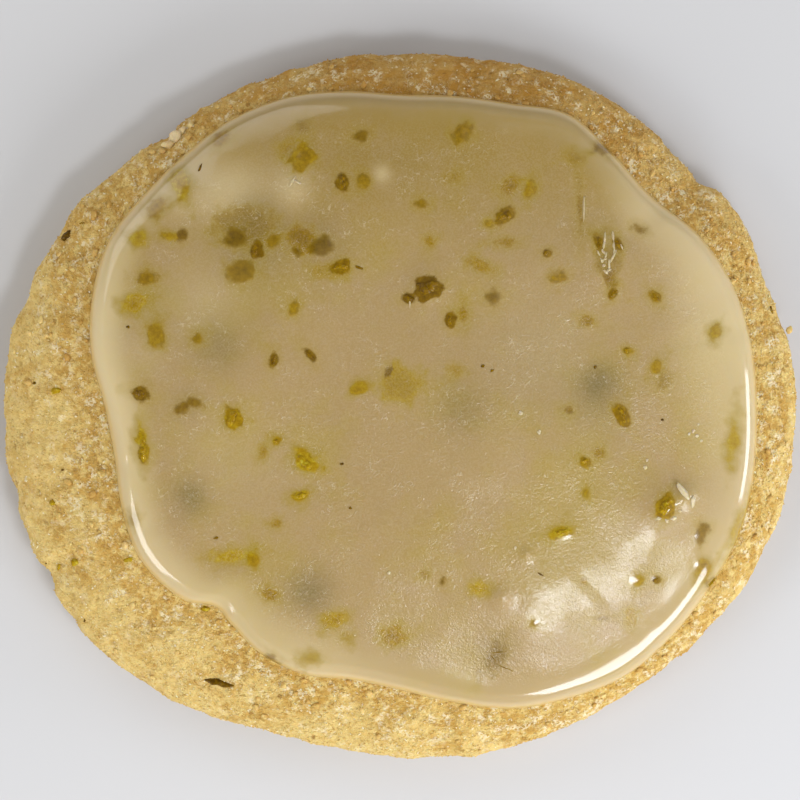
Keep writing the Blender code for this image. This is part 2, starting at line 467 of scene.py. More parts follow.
@dataclass(frozen=True)
class Dough:
    """Form of the biscuit."""

    rim_height: float = 4.0 * MM
    crown_height: float = 10.7 * MM
    crown_power: float = 2.5
    crown_root: float = 0.52
    base_reach: float = 0.93
    swell_height: float = 0.45 * MM
    swell_size: float = 13.0 * MM
    relief_fade: float = 2.0 * MM
    lump_height: float = 0.30 * MM
    lump_size: float = 4.6 * MM
    crag_height: float = 0.16 * MM
    crag_size: float = 1.7 * MM
    crumb_height: float = 0.11 * MM
    crumb_size: float = 0.75 * MM
    grain_height: float = 0.08 * MM
    grain_size: float = 0.42 * MM
    pit_depth: float = 0.14 * MM
    pit_size: float = 0.62 * MM
    pit_layer: float = 9.0
    pit_start: float = 0.55
    pit_wall: float = 0.12
    shaded_side_deg: float = 78.0
    shaded_side_reach_deg: float = 75.0

    def height(self, x: Array, y: Array) -> Array:
        """Height of the dome without its crumbly relief.

        Args:
            x: Places along X.
            y: Places along Y.

        Returns:
            One height for each place.
        """
        reach = np.minimum(np.hypot(x, y) / RIM.radius(np.arctan2(y, x)), 1.0)
        dome = (1.0 - reach**self.crown_power) ** self.crown_root
        flat = np.column_stack((x, y, np.zeros_like(x)))
        swell = self.swell_height * noise_at(flat, self.swell_size)
        return self.rim_height + dome * (self.crown_height - self.rim_height + swell)

    def bare(self, points: Array) -> Array:
        """How far outside the edge of the glaze each point is."""
        return -GLAZE.inset(points[:, 0], points[:, 1])

    def relief(self, points: Array) -> tuple[Array, Array]:
        """The crumbly surface.

        Args:
            points: Places on the smooth form.

        Returns:
            How far each stands out, and how deep in a pit or between grains it is, from 0 to 1, for painted
            shade in those hollows.
        """
        lumps = self.lump_height * noise_at(points, self.lump_size)
        crags = self.crag_height * noise_at(points, self.crag_size)
        crumbs = self.crumb_height * noise_at(points, self.crumb_size)
        grains = grain_at(points, self.grain_size)
        pits = ease((noise_at(points, self.pit_size, self.pit_layer) - self.pit_start) / self.pit_wall)
        rise = lumps + crags + crumbs + self.grain_height * (grains - 0.7) - self.pit_depth * pits
        # Depth in pits and between grains and crumbs, which the material paints as shade.
        between_grains = 0.35 * ease((0.62 - grains) / 0.4)
        between_crumbs = 0.3 * ease(-crumbs / self.crumb_height - 0.25)
        hollow_shade = np.clip(pits + between_grains + between_crumbs, 0.0, 1.0)
        return rise * ease(self.bare(points) / self.relief_fade), hollow_shade

    def toast_and_shade(self, points: Array) -> Array:
        """How browned the dough is round its foot, with painted shade along one side of its rim.

        Args:
            points: Places on the smooth form.

        Returns:
            One value for each place, from 0 to 1.
        """
        # Painted shade along one side of the rim, with real browning round the foot.
        off = off_side(np.degrees(np.arctan2(points[:, 1], points[:, 0])), self.shaded_side_deg)
        above = 1.0 - off / self.shaded_side_reach_deg
        low = 1.0 - points[:, 2] / self.rim_height
        return np.clip(0.62 * ease(above) + 0.9 * ease(low * 1.15 - 0.25), 0.0, 1.0)

    def surface(self, angle: Array, reach: Array, drop: float) -> Array:
        """Points of the smooth form.

        Args:
            angle: Angle of each point.
            reach: Share of the way out to the rim.
            drop: How far down the flank they are, 0 on the dome and 1 on the base.

        Returns:
            One row for each point.
        """
        radius = reach * RIM.radius(angle)
        x = radius * np.cos(angle)
        y = radius * np.sin(angle)
        height = np.full_like(x, self.rim_height * (1.0 - drop)) if drop else self.height(x, y)
        return np.column_stack((x, y, height))

    def outward(self, points: Array) -> Array:
        """Direction away from the dough.

        Args:
            points: Places on its surface.

        Returns:
            One unit row for each place.
        """
        rim = RIM.radius(np.arctan2(points[:, 1], points[:, 0]))[:, None]
        rise = np.maximum(points[:, 2] - self.rim_height, 0.0) / (self.crown_height - self.rim_height) ** 2
        away = np.column_stack((points[:, :2] / rim**2, rise))
        return away / np.maximum(np.linalg.norm(away, axis=1), 1e-9)[:, None]


DOUGH = Dough()


@dataclass(frozen=True)
class Swelling:
    """A place where the glaze stands up over a lump below."""

    x_px: float
    y_px: float
    radius_mm: float
    height_mm: float


@dataclass(frozen=True)
class Glaze:
    """Form of the poured glaze: a rounded bead at its edge, then a thinner uneven skin."""

    gap: float = 0.3 * MM
    seat: float = 0.12 * MM
    seat_spare: float = 1.5
    bead_height: float = 1.05 * MM
    bead_width: float = 1.6 * MM
    bead_power: float = 0.56
    skin_height: float = 0.85 * MM
    bead_fade: float = 2.6 * MM
    wave_height: float = 0.16 * MM
    wave_size: float = 8.0 * MM
    ripple_height: float = 0.035 * MM
    ripple_size: float = 2.6 * MM
    swellings: tuple[Swelling, ...] = (
        Swelling(671, 508, 2.8, 0.62),
        Swelling(686, 497, 1.0, 0.42),
        Swelling(607, 252, 2.8, 0.30),
        Swelling(424, 291, 2.0, 0.22),
        Swelling(215, 195, 2.2, 0.20),
        Swelling(292, 190, 1.8, 0.18),
        Swelling(307, 242, 2.6, 0.18),
        Swelling(527, 554, 0.60, 0.20),
        Swelling(502, 597, 0.95, 0.30),
    )

    def inset(self, x: Array, y: Array) -> Array:
        """Distance inwards from the edge of the glaze."""
        return GLAZE_EDGE.radius(np.arctan2(y, x)) - np.hypot(x, y)

    def thickness(self, x: Array, y: Array) -> Array:
        """Height of the top above the dough.

        Args:
            x: Places along X.
            y: Places along Y.

        Returns:
            One height for each place.
        """
        inset = self.inset(x, y)
        turn = 1.0 - np.clip(inset / self.bead_width, 0.0, 1.0)
        whole = self.gap + self.bead_height + self.seat
        bead = whole * (1.0 - turn**2) ** self.bead_power - self.seat
        further = np.maximum(inset - self.bead_width, 0.0)
        sag = (self.skin_height - self.bead_height) * (1.0 - np.exp(-((further / self.bead_fade) ** 2)))
        flat = np.column_stack((x, y, np.full_like(x, self.wave_size)))
        wave = self.wave_height * noise_at(flat, self.wave_size)
        ripple = self.ripple_height * noise_at(flat, self.ripple_size)
        lump = np.zeros_like(x)
        for swelling in self.swellings:
            middle = VIEW.on_cookie(swelling.x_px, swelling.y_px, DOUGH.crown_height)
            off = np.hypot(x - middle[0], y - middle[1]) / (swelling.radius_mm * MM)
            lump += swelling.height_mm * MM * np.exp(-(off**2))
        inner = ease(further / self.bead_fade) * (wave + ripple)
        return bead + sag + inner + ease(further / self.bead_width) * lump

    def top(self, x: Array, y: Array) -> Array:
        """Height of the top of the glaze."""
        return DOUGH.height(x, y) + self.thickness(x, y)


GLAZE = Glaze()


class RingStack:
    """A closed mesh of rings stacked from its bottom pole to its top pole.

    A ring has as many points as the one below it, half as many or twice as many.
    """

    def __init__(self) -> None:
        """Starts with no rings."""
        self.rings: list[Array] = []

    @staticmethod
    def angles(count: int) -> Array:
        """Even angles round a ring."""
        return np.arange(count) * (math.tau / count)

    def add(self, points: Array) -> None:
        """Puts a ring on top."""
        self.rings.append(points)

    @staticmethod
    def _join(low: int, low_count: int, high: int, high_count: int) -> list[tuple[int, ...]]:
        """Faces between two rings.

        Args:
            low: First index of the lower ring.
            low_count: Its number of points.
            high: First index of the upper ring.
            high_count: Its number of points.

        Returns:
            The faces, turned outward.
        """
        faces: list[tuple[int, ...]] = []
        few = min(low_count, high_count)
        for step in range(few):
            after = (step + 1) % few
            if low_count == high_count:
                faces.append((low + step, low + after, high + after, high + step))
            elif low_count > high_count:
                first, middle, last = (low + (2 * step + more) % low_count for more in range(3))
                here, there = high + step, high + after
                faces += [(first, middle, here), (middle, there, here), (middle, last, there)]
            else:
                first, middle, last = (high + (2 * step + more) % high_count for more in range(3))
                here, there = low + step, low + after
                faces += [(here, middle, first), (here, there, middle), (there, last, middle)]
        return faces

    def shape(self) -> tuple[Array, list[tuple[int, ...]]]:
        """Closes the stack.

        Returns:
            Its points, one row each, and its faces.
        """
        counts = [len(ring) for ring in self.rings]
        starts = [1 + sum(counts[:index]) for index in range(len(counts))]
        bottom = self.rings[0].mean(axis=0)
        top = self.rings[-1].mean(axis=0)
        points = np.vstack([bottom[None], *self.rings, top[None]])
        faces: list[tuple[int, ...]] = []
        for step in range(counts[0]):
            faces.append((0, starts[0] + (step + 1) % counts[0], starts[0] + step))
        for index in range(len(counts) - 1):
            faces += self._join(starts[index], counts[index], starts[index + 1], counts[index + 1])
        pole = len(points) - 1
        for step in range(counts[-1]):
            faces.append((starts[-1] + step, starts[-1] + (step + 1) % counts[-1], pole))
        return points, faces


class Lumps:
    """Small rough lumps joined into one mesh, each with its own numbers for the material."""

    def __init__(self, around: int, rings: int) -> None:
        """Prepares a ball.

        Args:
            around: Its points around.
            rings: Its steps from pole to pole.
        """
        stack = RingStack()
        angle = stack.angles(around)
        for ring in range(1, rings):
            turn = math.pi * ring / rings
            reach = math.sin(turn)
            level = np.full(around, -math.cos(turn))
            stack.add(np.column_stack((reach * np.cos(angle), reach * np.sin(angle), level)))
        self.ball, self.ball_faces = stack.shape()
        self.points: list[Array] = []
        self.faces: list[tuple[int, ...]] = []
        self.values: dict[str, list[Array]] = {}

    def add(self, middle: Array, halves: Array, rough: float, wave: float, **values: float) -> None:
        """Adds one lump.

        Args:
            middle: Its middle.
            halves: Three rows, from its middle to its ends along, across and up.
            rough: How much its surface goes in and out, as a share of its size.
            wave: Width of those bumps, as a share of its size.
            values: Numbers for the material.
        """
        start = len(self.points) * len(self.ball)
        bumps = noise_at(self.ball + middle / MM, wave)
        bumps += FINER_SHARE * noise_at(self.ball - middle / MM, wave / FINER)
        self.points.append(middle + (self.ball * (1.0 + rough * bumps)[:, None]) @ halves)
        self.faces += [tuple(start + index for index in face) for face in self.ball_faces]
        for name, value in values.items():
            self.values.setdefault(name, []).append(np.full(len(self.ball), value))

    def build(self, name: str) -> bpy.types.Object:
        """Joins all lumps into one smooth mesh with their numbers stored.

        Args:
            name: Name of the object.

        Returns:
            The object.
        """
        obj = make_object(name, np.vstack(self.points), self.faces)
        for value_name, parts in self.values.items():
            store(obj, value_name, np.concatenate(parts))
        return obj


def make_object(
    name: str, points: Array, faces: Sequence[Sequence[int]], smooth: bool = True
) -> bpy.types.Object:
    """Makes a mesh object.

    Args:
        name: Its name.
        points: Its points, one row each.
        faces: Indices of each face's points.
        smooth: Whether it is shaded smooth.

    Returns:
        The object, linked to the scene.
    """
    mesh = bpy.data.meshes.new(name)
    mesh.from_pydata(points.tolist(), [], faces)
    mesh.polygons.foreach_set("use_smooth", np.full(len(mesh.polygons), smooth))
    obj = bpy.data.objects.new(name, mesh)
    bpy.context.scene.collection.objects.link(obj)
    return obj


def store(obj: bpy.types.Object, name: str, values: Array) -> None:
    """Stores one number for each point of a mesh, for its material.

    Args:
        obj: The mesh object.
        name: Name of the attribute.
        values: The numbers.
    """
    attribute = obj.data.attributes.new(name, "FLOAT", "POINT")
    attribute.data.foreach_set("value", values.astype(np.float32))


def place_on_root(obj: bpy.types.Object, node: str, slot: str, material: bpy.types.Material) -> None:
    """Dresses a finished piece and hands it to the frame.

    Args:
        obj: The piece.
        node: The solid that it stands for.
        slot: The record's material slot; not used.
        material: Its material.
    """
    obj.data.materials.append(material)
    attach(obj, "root")
    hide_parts(node)
    mesh = obj.data
    mesh.calc_loop_triangles()
    log.info("%s: %d points, %d triangles", obj.name, len(mesh.vertices), len(mesh.loop_triangles))


@dataclass(frozen=True)
class CrumbFinish:
    """Pale baked crumb: sandy grains, orange mottling by the glaze, browner beneath, with painted shade
    along its upper side and in its hollows.
    """

    pale: Colour = (0.725, 0.53, 0.185, 1.0)
    tan: Colour = (0.62, 0.40, 0.105, 1.0)
    golden: Colour = (0.49, 0.265, 0.038, 1.0)
    toasted_and_shaded: Colour = (0.37, 0.150, 0.004, 1.0)
    hollow_shade: Colour = (0.33, 0.175, 0.03, 1.0)
    crystal: Colour = (0.86, 0.76, 0.50, 1.0)
    radius: tuple[float, float, float] = (0.9, 0.5, 0.2)

    def baked(self, graph: Graph, base: Value, patches: Value) -> Value:
        """Browns a dough colour: golden next to the glaze and toasted at its foot, with painted shade in
        pits and along one side.

        Args:
            graph: The material's graph.
            base: The dough's own colour.
            patches: Noise that the browning follows.

        Returns:
            The baked colour.
        """
        near_glaze = 1.0 - graph.attribute("bare").between(0.5, 6.0)
        ragged = graph.noise(0.8, 3.0, 0.65).between(0.38, 0.56)
        mottle = (patches + near_glaze * 0.20).between(0.48, 0.68) * ragged
        here_and_there = graph.noise(3.0).between(0.46, 0.58)
        # Painted shade in small pits, here and there.
        pits = (graph.grains(1.9) + graph.noise(0.35) * 0.25).between(0.27, 0.22) * here_and_there
        return graph.coats(
            base,
            (mottle * 0.8, self.golden),
            (pits * 0.8, self.hollow_shade),
            # Browning round the foot, and painted shade along one side of the rim.
            (graph.attribute("toast_and_shade") * (0.7 + patches * 0.5), self.toasted_and_shaded),
        )

    def material(self) -> bpy.types.Material:
        """Makes the material of the biscuit itself.

        Returns:
            The material.
        """
        graph = Graph.of_material("baked_crumb")
        sand = graph.noise(0.26, 2.0, 0.6).between(0.56, 0.36)
        base = graph.coats(self.pale, (graph.noise(0.9, 3.0, 0.6).between(0.38, 0.74), self.tan))
        near_glaze = 1.0 - graph.attribute("bare").between(2.0, 9.0) * 0.7
        flaky = near_glaze * graph.noise(2.4).between(0.36, 0.56)
        flakes = graph.noise(1.2, 3.0, 0.7).between(0.52, 0.66)
        bright = (graph.strokes(0.60, 0.06) * 0.4 + flakes * 0.62) * flaky
        colour = graph.coats(
            self.baked(graph, base, graph.noise(4.2, 4.0, 0.62)),
            # Painted shade on sandy spots, in the hollows between grains and in cracks.
            (sand * 0.14, self.hollow_shade),
            (graph.attribute("hollow_shade") * 0.35, self.hollow_shade),
            (graph.strokes(0.85, 0.07) * flaky * 0.7, self.hollow_shade),
            (bright, self.crystal),
        )
        normal = graph.bump(graph.noise(0.36, 3.0, 0.7), 0.20, 0.9)
        normal = graph.bump(bright - graph.grains(0.22), 0.08, 0.7, normal)
        return graph.finish(
            {
                "Specular IOR Level": 0.35,
                "Subsurface Weight": 0.15,
                "Subsurface Radius": self.radius,
                "Subsurface Scale": 0.0008,
                "Base Color": colour,
                "Roughness": 0.86 - bright * 0.35,
                "Normal": normal,
            }
        )

    def grain_material(self) -> bpy.types.Material:
        """Makes the material of loose grains, whose tone runs from 0, dark, to 1, a clear crystal.

        Returns:
            The material.
        """
        graph = Graph.of_material("baked_grains")
        tone = graph.attribute("tone")
        base = graph.coats(self.tan, (tone.between(0.10, 0.75), self.pale))
        clear = tone.between(0.88, 0.97)
        colour = graph.coats(
            self.baked(graph, base, graph.noise(4.2, 4.0, 0.62)),
            # The darkest grains and a fine speckle take the colour of the painted shade.
            (tone.between(0.06, 0.01) * 0.4, self.hollow_shade),
            (clear * 0.7, self.crystal),
            (graph.noise(0.12).between(0.50, 0.30) * 0.15, self.hollow_shade),
        )
        return graph.finish(
            {
                "Specular IOR Level": 0.5,
                "Subsurface Weight": 0.25,
                "Subsurface Radius": self.radius,
                "Subsurface Scale": 0.0004,
                "Base Color": colour,
                "Roughness": 0.72 - clear * 0.40,
                "Normal": graph.bump(graph.noise(0.30, 3.0, 0.7), 0.12, 0.8),
            }
        )


@dataclass(frozen=True)
class Biscuit:
    """The domed biscuit, fine where it is bare and coarse where nothing shows."""

    segments: int = 1152
    dome_rings: int = 42
    flank_rings: int = 24
    hidden_inset: float = 1.0 * MM
    inner_reaches: tuple[float, ...] = (0.97, 0.92, 0.84, 0.70, 0.52, 0.32, 0.14)
    base_reaches: tuple[float, ...] = (0.10, 0.25, 0.42, 0.60, 0.76, 0.88, 0.96)
    seam_reach: float = 0.985

    def build(self) -> bpy.types.Object:
        """Models and dresses the biscuit.

        Returns:
            Its object.
        """
        stack = RingStack()
        halvings = len(self.base_reaches)
        for index, share in enumerate(self.base_reaches):
            coarse = stack.angles(self.segments >> (halvings - index))
            stack.add(DOUGH.surface(coarse, share * DOUGH.base_reach, 1.0))
        angle = stack.angles(self.segments)
        stack.add(DOUGH.surface(angle, self.seam_reach * DOUGH.base_reach, 1.0))
        for ring in range(self.flank_rings):
            turn = ring / self.flank_rings * math.pi / 2.0
            bulge = DOUGH.base_reach + (1.0 - DOUGH.base_reach) * math.sin(turn)
            stack.add(DOUGH.surface(angle, bulge, math.cos(turn)))
        inner = self._hidden_reach(angle)
        for ring in range(self.dome_rings + 1):
            share = ring / self.dome_rings
            rounded = math.sqrt(1.0 - share)
            outward = 0.5 * (1.0 - share) + 0.5 * (1.0 - (1.0 - rounded) ** 2)
            stack.add(DOUGH.surface(angle, inner + (1.0 - inner) * outward, 0.0))
        for index, share in enumerate(self.inner_reaches):
            coarse = stack.angles(self.segments >> (index + 1))
            stack.add(DOUGH.surface(coarse, self._hidden_reach(coarse) * share, 0.0))
        obj = make_object("biscuit_body", *stack.shape())
        self._roughen(obj)
        place_on_root(obj, "biscuit", "dough", CrumbFinish().material())
        return obj

    def _hidden_reach(self, angle: Array) -> Array:
        """Share of the way out to the rim at which the glaze begins to hide the dough."""
        return (GLAZE_EDGE.radius(angle) - self.hidden_inset) / RIM.radius(angle)

    def _roughen(self, obj: bpy.types.Object) -> None:
        """Raises the crumb and stores what the material needs.

        Args:
            obj: The smooth biscuit, which is changed.
        """
        count = len(obj.data.vertices)
        flat = np.zeros(count * 3, np.float32)
        obj.data.vertices.foreach_get("co", flat)
        points = flat.reshape(-1, 3).astype(float)
        on_base = points[:, 2] <= 0.0
        rise, hollow_shade = DOUGH.relief(points)
        moved = points + DOUGH.outward(points) * rise[:, None]
        moved[on_base, 2] = 0.0
        moved[:, 2] = np.maximum(moved[:, 2], 0.0)
        obj.data.vertices.foreach_set("co", moved.astype(np.float32).ravel())
        obj.data.update()
        # Browning round the foot, with painted shade along one side of the rim.
        store(obj, "toast_and_shade", DOUGH.toast_and_shade(points))
        # How deep in a hollow each point is, for painted shade there.
        store(obj, "hollow_shade", hollow_shade * ~on_base)
        store(obj, "bare", DOUGH.bare(points) / MM)


@dataclass(frozen=True)
class CrumbGrains:
    """Sandy grains of dough and sugar all over the bare rim, as one piece."""

    count: int = 17000
    flank_share: float = 0.25
    halves_mm: tuple[tuple[float, float], ...] = ((0.10, 0.25), (0.07, 0.15), (0.04, 0.10))
    unevenness: tuple[float, float] = (0.7, 1.2)
    tilt: float = 0.45
    tuck: float = 0.1 * MM
    facets: tuple[tuple[int, int, int], ...] = (
        (0, 2, 4), (2, 1, 4), (1, 3, 4), (3, 0, 4), (2, 0, 5), (1, 2, 5), (3, 1, 5), (0, 3, 5),
    )

    def build(self) -> bpy.types.Object:
        """Scatters and dresses the grains.

        Returns:
            Their object.
        """
        random = np.random.default_rng(SEED)
        smooth = self._places(random)
        away = DOUGH.outward(smooth)
        middles = smooth + away * DOUGH.relief(smooth)[0][:, None]
        up = self._unit(away + self.tilt * random.standard_normal(smooth.shape))
        along = self._unit(np.cross(up, random.standard_normal(smooth.shape)))
        across = np.cross(up, along)
        ends = []
        for axis, (least, most) in zip((along, across, up), self.halves_mm, strict=True):
            half = axis * random.uniform(least, most, (len(smooth), 1)) * MM
            ends += [half * random.uniform(*self.unevenness, (len(smooth), 1)), -half]
        points = (middles[:, None, :] + np.stack(ends, axis=1)).reshape(-1, 3)
        points[:, 2] = np.maximum(points[:, 2], 0.0)
        faces = np.array(self.facets)[None] + 6 * np.arange(len(smooth))[:, None, None]
        obj = make_object("crumb_grains", points, faces.reshape(-1, 3).tolist(), smooth=False)
        store(obj, "tone", np.repeat(random.uniform(0.0, 1.0, len(smooth)), 6))
        # Browning with painted shade along one side of the rim.
        store(obj, "toast_and_shade", np.repeat(DOUGH.toast_and_shade(smooth), 6))
        store(obj, "bare", np.repeat(DOUGH.bare(smooth) / MM, 6))
        place_on_root(obj, "biscuit", "dough", CrumbFinish().grain_material())
        return obj

    def _places(self, random: np.random.Generator) -> Array:
        """Places of the grains on the smooth form.

        Args:
            random: Source of chance.

        Returns:
            One row for each grain.
        """
        on_flank = int(self.count * self.flank_share)
        angle = random.uniform(0.0, math.tau, self.count * 4)
        radius = RIM.radius(angle) * np.sqrt(random.uniform(0.45, 1.0, len(angle)))
        wanted = radius > GLAZE_EDGE.radius(angle) - self.tuck
        angle, radius = angle[wanted][: self.count - on_flank], radius[wanted][: self.count - on_flank]
        x, y = radius * np.cos(angle), radius * np.sin(angle)
        dome = np.column_stack((x, y, DOUGH.height(x, y)))
        angle = random.uniform(0.0, math.tau, on_flank)
        turn = random.uniform(0.25, 1.0, on_flank) * math.pi / 2.0
        radius = RIM.radius(angle) * (DOUGH.base_reach + (1.0 - DOUGH.base_reach) * np.sin(turn))
        level = DOUGH.rim_height * (1.0 - np.cos(turn))
        return np.vstack((dome, np.column_stack((radius * np.cos(angle), radius * np.sin(angle), level))))

    @staticmethod
    def _unit(rows: Array) -> Array:
        """Rows made a unit long."""
        return rows / np.linalg.norm(rows, axis=1)[:, None]


@dataclass(frozen=True)
class LooseCrumbs:
    """Bigger crumbs lying on the rim: a pale crag and a few more where they show, the rest by chance.

    A shown crumb is its x, y and width in pixels, and its tone.
    """

    shown: tuple[tuple[float, float, float, float], ...] = (
        (176, 138, 13, 0.94),
        (169, 146, 10, 0.92),
        (183, 131, 8, 0.93),
        (163, 152, 7, 0.90),
        (191, 126, 6, 0.91),
        (789, 330, 7, 0.85),
        (96, 216, 8, 0.60),
        (125, 545, 7, 0.90),
    )
    count: int = 110
    halves_mm: tuple[float, float] = (0.16, 0.34)
    shape: tuple[float, float, float] = (1.2, 0.9, 0.65)
    lift: float = 0.25

    def build(self) -> bpy.types.Object:
        """Places and dresses the crumbs.

        Returns:
            Their object.
        """
        lumps = Lumps(10, 7)
        random = np.random.default_rng(SEED + 1)
        for x_px, y_px, size_px, tone in self.shown:
            turn_deg = float(random.uniform(0, 180))
            self._drop(lumps, x_px, y_px, size_px / VIEW.px_per_mm / 2.0, tone, turn_deg)
        for _ in range(self.count):
            turn = float(random.uniform(0.0, math.tau))
            angle = np.array([turn])
            edge, rim = GLAZE_EDGE.radius(angle)[0] / MM, RIM.radius(angle)[0] / MM
            radius = float(random.uniform(edge + 0.4, rim - 0.3)) * VIEW.px_per_mm
            x_px = VIEW.middle_px[0] + radius * math.cos(turn)
            y_px = VIEW.middle_px[1] - radius * math.sin(turn)
            tone = float(random.uniform(0.0, 0.9))
            half_mm = float(random.uniform(*self.halves_mm))
            self._drop(lumps, x_px, y_px, half_mm, tone, float(random.uniform(0, 180)))
        obj = lumps.build("loose_crumbs")
        place_on_root(obj, "biscuit", "dough", CrumbFinish().grain_material())
        return obj

    def _drop(
        self, lumps: Lumps, x_px: float, y_px: float, half_mm: float, tone: float, turn_deg: float
    ) -> None:
        """Adds one crumb where it is seen.

        Args:
            lumps: The crumbs so far.
            x_px: Pixels from the left of the photograph.
            y_px: Pixels from its top.
            half_mm: Half its width.
            tone: Its tone from 0 to 1.
            turn_deg: Its turn.
        """
        place, axes = VIEW.on_surface(DOUGH.height, x_px, y_px, turn_deg)
        rise = float(DOUGH.relief(place[None])[0][0])
        middle = place + axes[2] * (rise + self.lift * half_mm * MM)
        halves = axes * np.array(self.shape)[:, None] * half_mm * MM
        # Browning with painted shade along one side, less on paler crumbs.
        toast_and_shade = float(DOUGH.toast_and_shade(place[None])[0]) * (1.0 - tone)
        bare = float(DOUGH.bare(place[None])[0]) / MM
        lumps.add(middle, halves, 0.5, 0.9, tone=tone, toast_and_shade=toast_and_shade, bare=bare)


@dataclass(frozen=True)
class ZestFinish:
    """Citrus zest: wet and mottled, olive to bright gold."""

    tones: tuple[tuple[float, Colour], ...] = (
        (0.05, (0.074, 0.034, 0.0003, 1.0)),
        (0.32, (0.172, 0.088, 0.0004, 1.0)),
        (0.51, (0.238, 0.130, 0.0006, 1.0)),
        (0.67, (0.315, 0.183, 0.0016, 1.0)),
        (0.82, (0.390, 0.250, 0.0045, 1.0)),
        (1.00, (0.500, 0.390, 0.0300, 1.0)),
    )

    def colour(self, graph: Graph, gold: Value, contrast: float) -> Value:
        """Colour of zest, mottled.

        Args:
            graph: The material's graph.
            gold: From 0, dark olive, to 1, bright gold.
            contrast: Strength of the mottling.

        Returns:
            The colour.
        """
        flesh = graph.noise(0.42, 3.0, 0.65)
        return (gold * 0.62 + 0.20 + (flesh - 0.5) * contrast).ramp(*self.tones)

    def material(self, name: str) -> bpy.types.Material:
        """Makes the material of chips.

        Args:
            name: Its name.

        Returns:
            The material.
        """
        graph = Graph.of_material(name)
        return graph.finish(
            {
                "IOR": 1.45,
                "Specular IOR Level": 0.05,
                "Subsurface Weight": 0.2,
                "Subsurface Radius": (1.0, 0.6, 0.05),
                "Subsurface Scale": 0.0003,
                "Coat Roughness": 0.08,
                "Coat Weight": 0.2,
                "Base Color": self.colour(graph, graph.attribute("gold"), 1.0),
                "Roughness": 0.22 + graph.noise(0.5) * 0.2,
                "Normal": graph.bump(graph.noise(0.40, 3.0, 0.6), 0.15, 0.8),
            }
        )


@dataclass(frozen=True)
class GlazeFinish:
    """Milky sugar glaze: tan through its skin, paler and shinier where thick at the edge, its pale rim
    partly painted light, with painted shade above.
    """

    tan: Colour = (0.385, 0.264, 0.110, 1.0)
    pale: Colour = (0.74, 0.60, 0.33, 1.0)
    honey: Colour = (0.37, 0.262, 0.048, 1.0)
    upper_painted_shade: Colour = (0.330, 0.217, 0.048, 1.0)
    foot: Colour = (0.62, 0.44, 0.17, 1.0)
    milk: Colour = (0.58, 0.45, 0.23, 1.0)
    shade: Colour = (0.13, 0.098, 0.030, 1.0)
    stain: Colour = (0.33, 0.225, 0.012, 1.0)
    outline: Colour = (0.11, 0.060, 0.001, 1.0)
    sugar: Colour = (0.80, 0.68, 0.46, 1.0)

    def material(self) -> bpy.types.Material:
        """Makes the material.

        Returns:
            The material.
        """
        graph = Graph.of_material("sugar_glaze")
        inset = graph.attribute("inset")
        clouds = graph.noise(9.0, 3.0, 0.5)
        wisps = graph.noise(2.2, 3.0, 0.55)
        yellow = (clouds * 0.7 + wisps * 0.3 + graph.attribute("honey") * 0.25).between(0.44, 0.72)
        colour = graph.coats(
            self.tan,
            (yellow * 0.6, self.honey),
            # Painted shade over the upper side of the glaze.
            (graph.attribute("upper") * (0.40 + wisps * 0.8), self.upper_painted_shade),
            # Pale rim: partly the thick bead's own colour, partly painted light that changes round the
            # edge.
            (graph.attribute("pale_rim_and_light"), self.pale),
            (inset.between(0.9, 0.3) * 0.7, self.foot),
            (graph.attribute("milk") * 0.9, self.milk),
            (graph.attribute("shade") * (0.75 + wisps * 0.5), self.shade),
        )
        for layer in ("deep", "near"):
            colour = self._lay_zest(graph, colour, layer)
        skin = inset.between(1.5, 5.0) * (1.0 - graph.attribute("near_reach").between(-0.20, 0.10))
        grit = graph.noise(0.18, 2.0, 0.6)
        sandy = graph.noise(5.0, 2.0, 0.5).between(0.38, 0.64) * skin
        strokes = graph.strokes(0.55)
        dots = graph.grains(0.36).between(0.24, 0.08) * graph.noise(0.7).between(0.45, 0.62)
        crystals = (dots * 0.30 + strokes * 0.24) * sandy + grit.between(0.40, 0.62) * skin * 0.07
        grainy = (0.12 + sandy * 0.88) * skin
        normal = graph.bump(graph.noise(0.45, 2.0, 0.6), 0.030, (0.50 + sandy * 0.50) * skin)
        normal = graph.bump(grit + strokes * 0.5, 0.036, (0.60 + sandy * 0.40) * skin, normal)
        normal = graph.bump(1.0 - graph.grains(0.36), 0.03, grainy * 0.6, normal)
        return graph.finish(
            {
                "IOR": 1.48,
                "Specular IOR Level": 0.45,
                "Subsurface Weight": 0.35,
                "Subsurface Radius": (1.0, 0.65, 0.30),
                "Subsurface Scale": 0.0008,
                "Coat Roughness": 0.07,
                "Base Color": graph.coats(colour, (crystals, self.sugar)),
                "Roughness": 0.13 + grainy * 0.08,
                "Normal": normal,
                "Coat Weight": 0.15 + inset.between(4.5, 1.5) * 0.80,
            }
        )

    def _lay_zest(self, graph: Graph, under: Value, layer: str) -> Value:
        """Lays the flecks of one layer over a colour, with a stain round each.

        Args:
            graph: The material's graph.
            under: The colour so far.
            layer: Name of the layer.

        Returns:
            The new colour.
        """
        soft = graph.attribute(f"{layer}_soft")
        gold = graph.attribute(f"{layer}_gold")
        ragged = graph.noise(0.75, 3.0, 0.6) - 0.5
        reach = graph.attribute(f"{layer}_reach") + ragged * (0.50 + soft * 0.5)
        cover = (reach / soft).between(-0.5, 0.5)
        contrast = 0.85 if layer == "near" else 0.6
        zest = ZestFinish().colour(graph, gold - reach.between(0.1, 1.0) * 0.25, contrast)
        if layer == "near":
            broken = graph.noise(0.8).between(0.44, 0.58)
            line = reach.between(0.0, 0.05) * reach.between(0.20, 0.08) * broken
            zest = graph.coats(zest, (line * 0.4, self.outline))
        return graph.coats(
            under,
            (reach.between(-0.95, 0.15) * (0.20 + gold * 0.45), self.stain),
            (cover * (1.0 - soft * soft * 0.85), zest),
        )


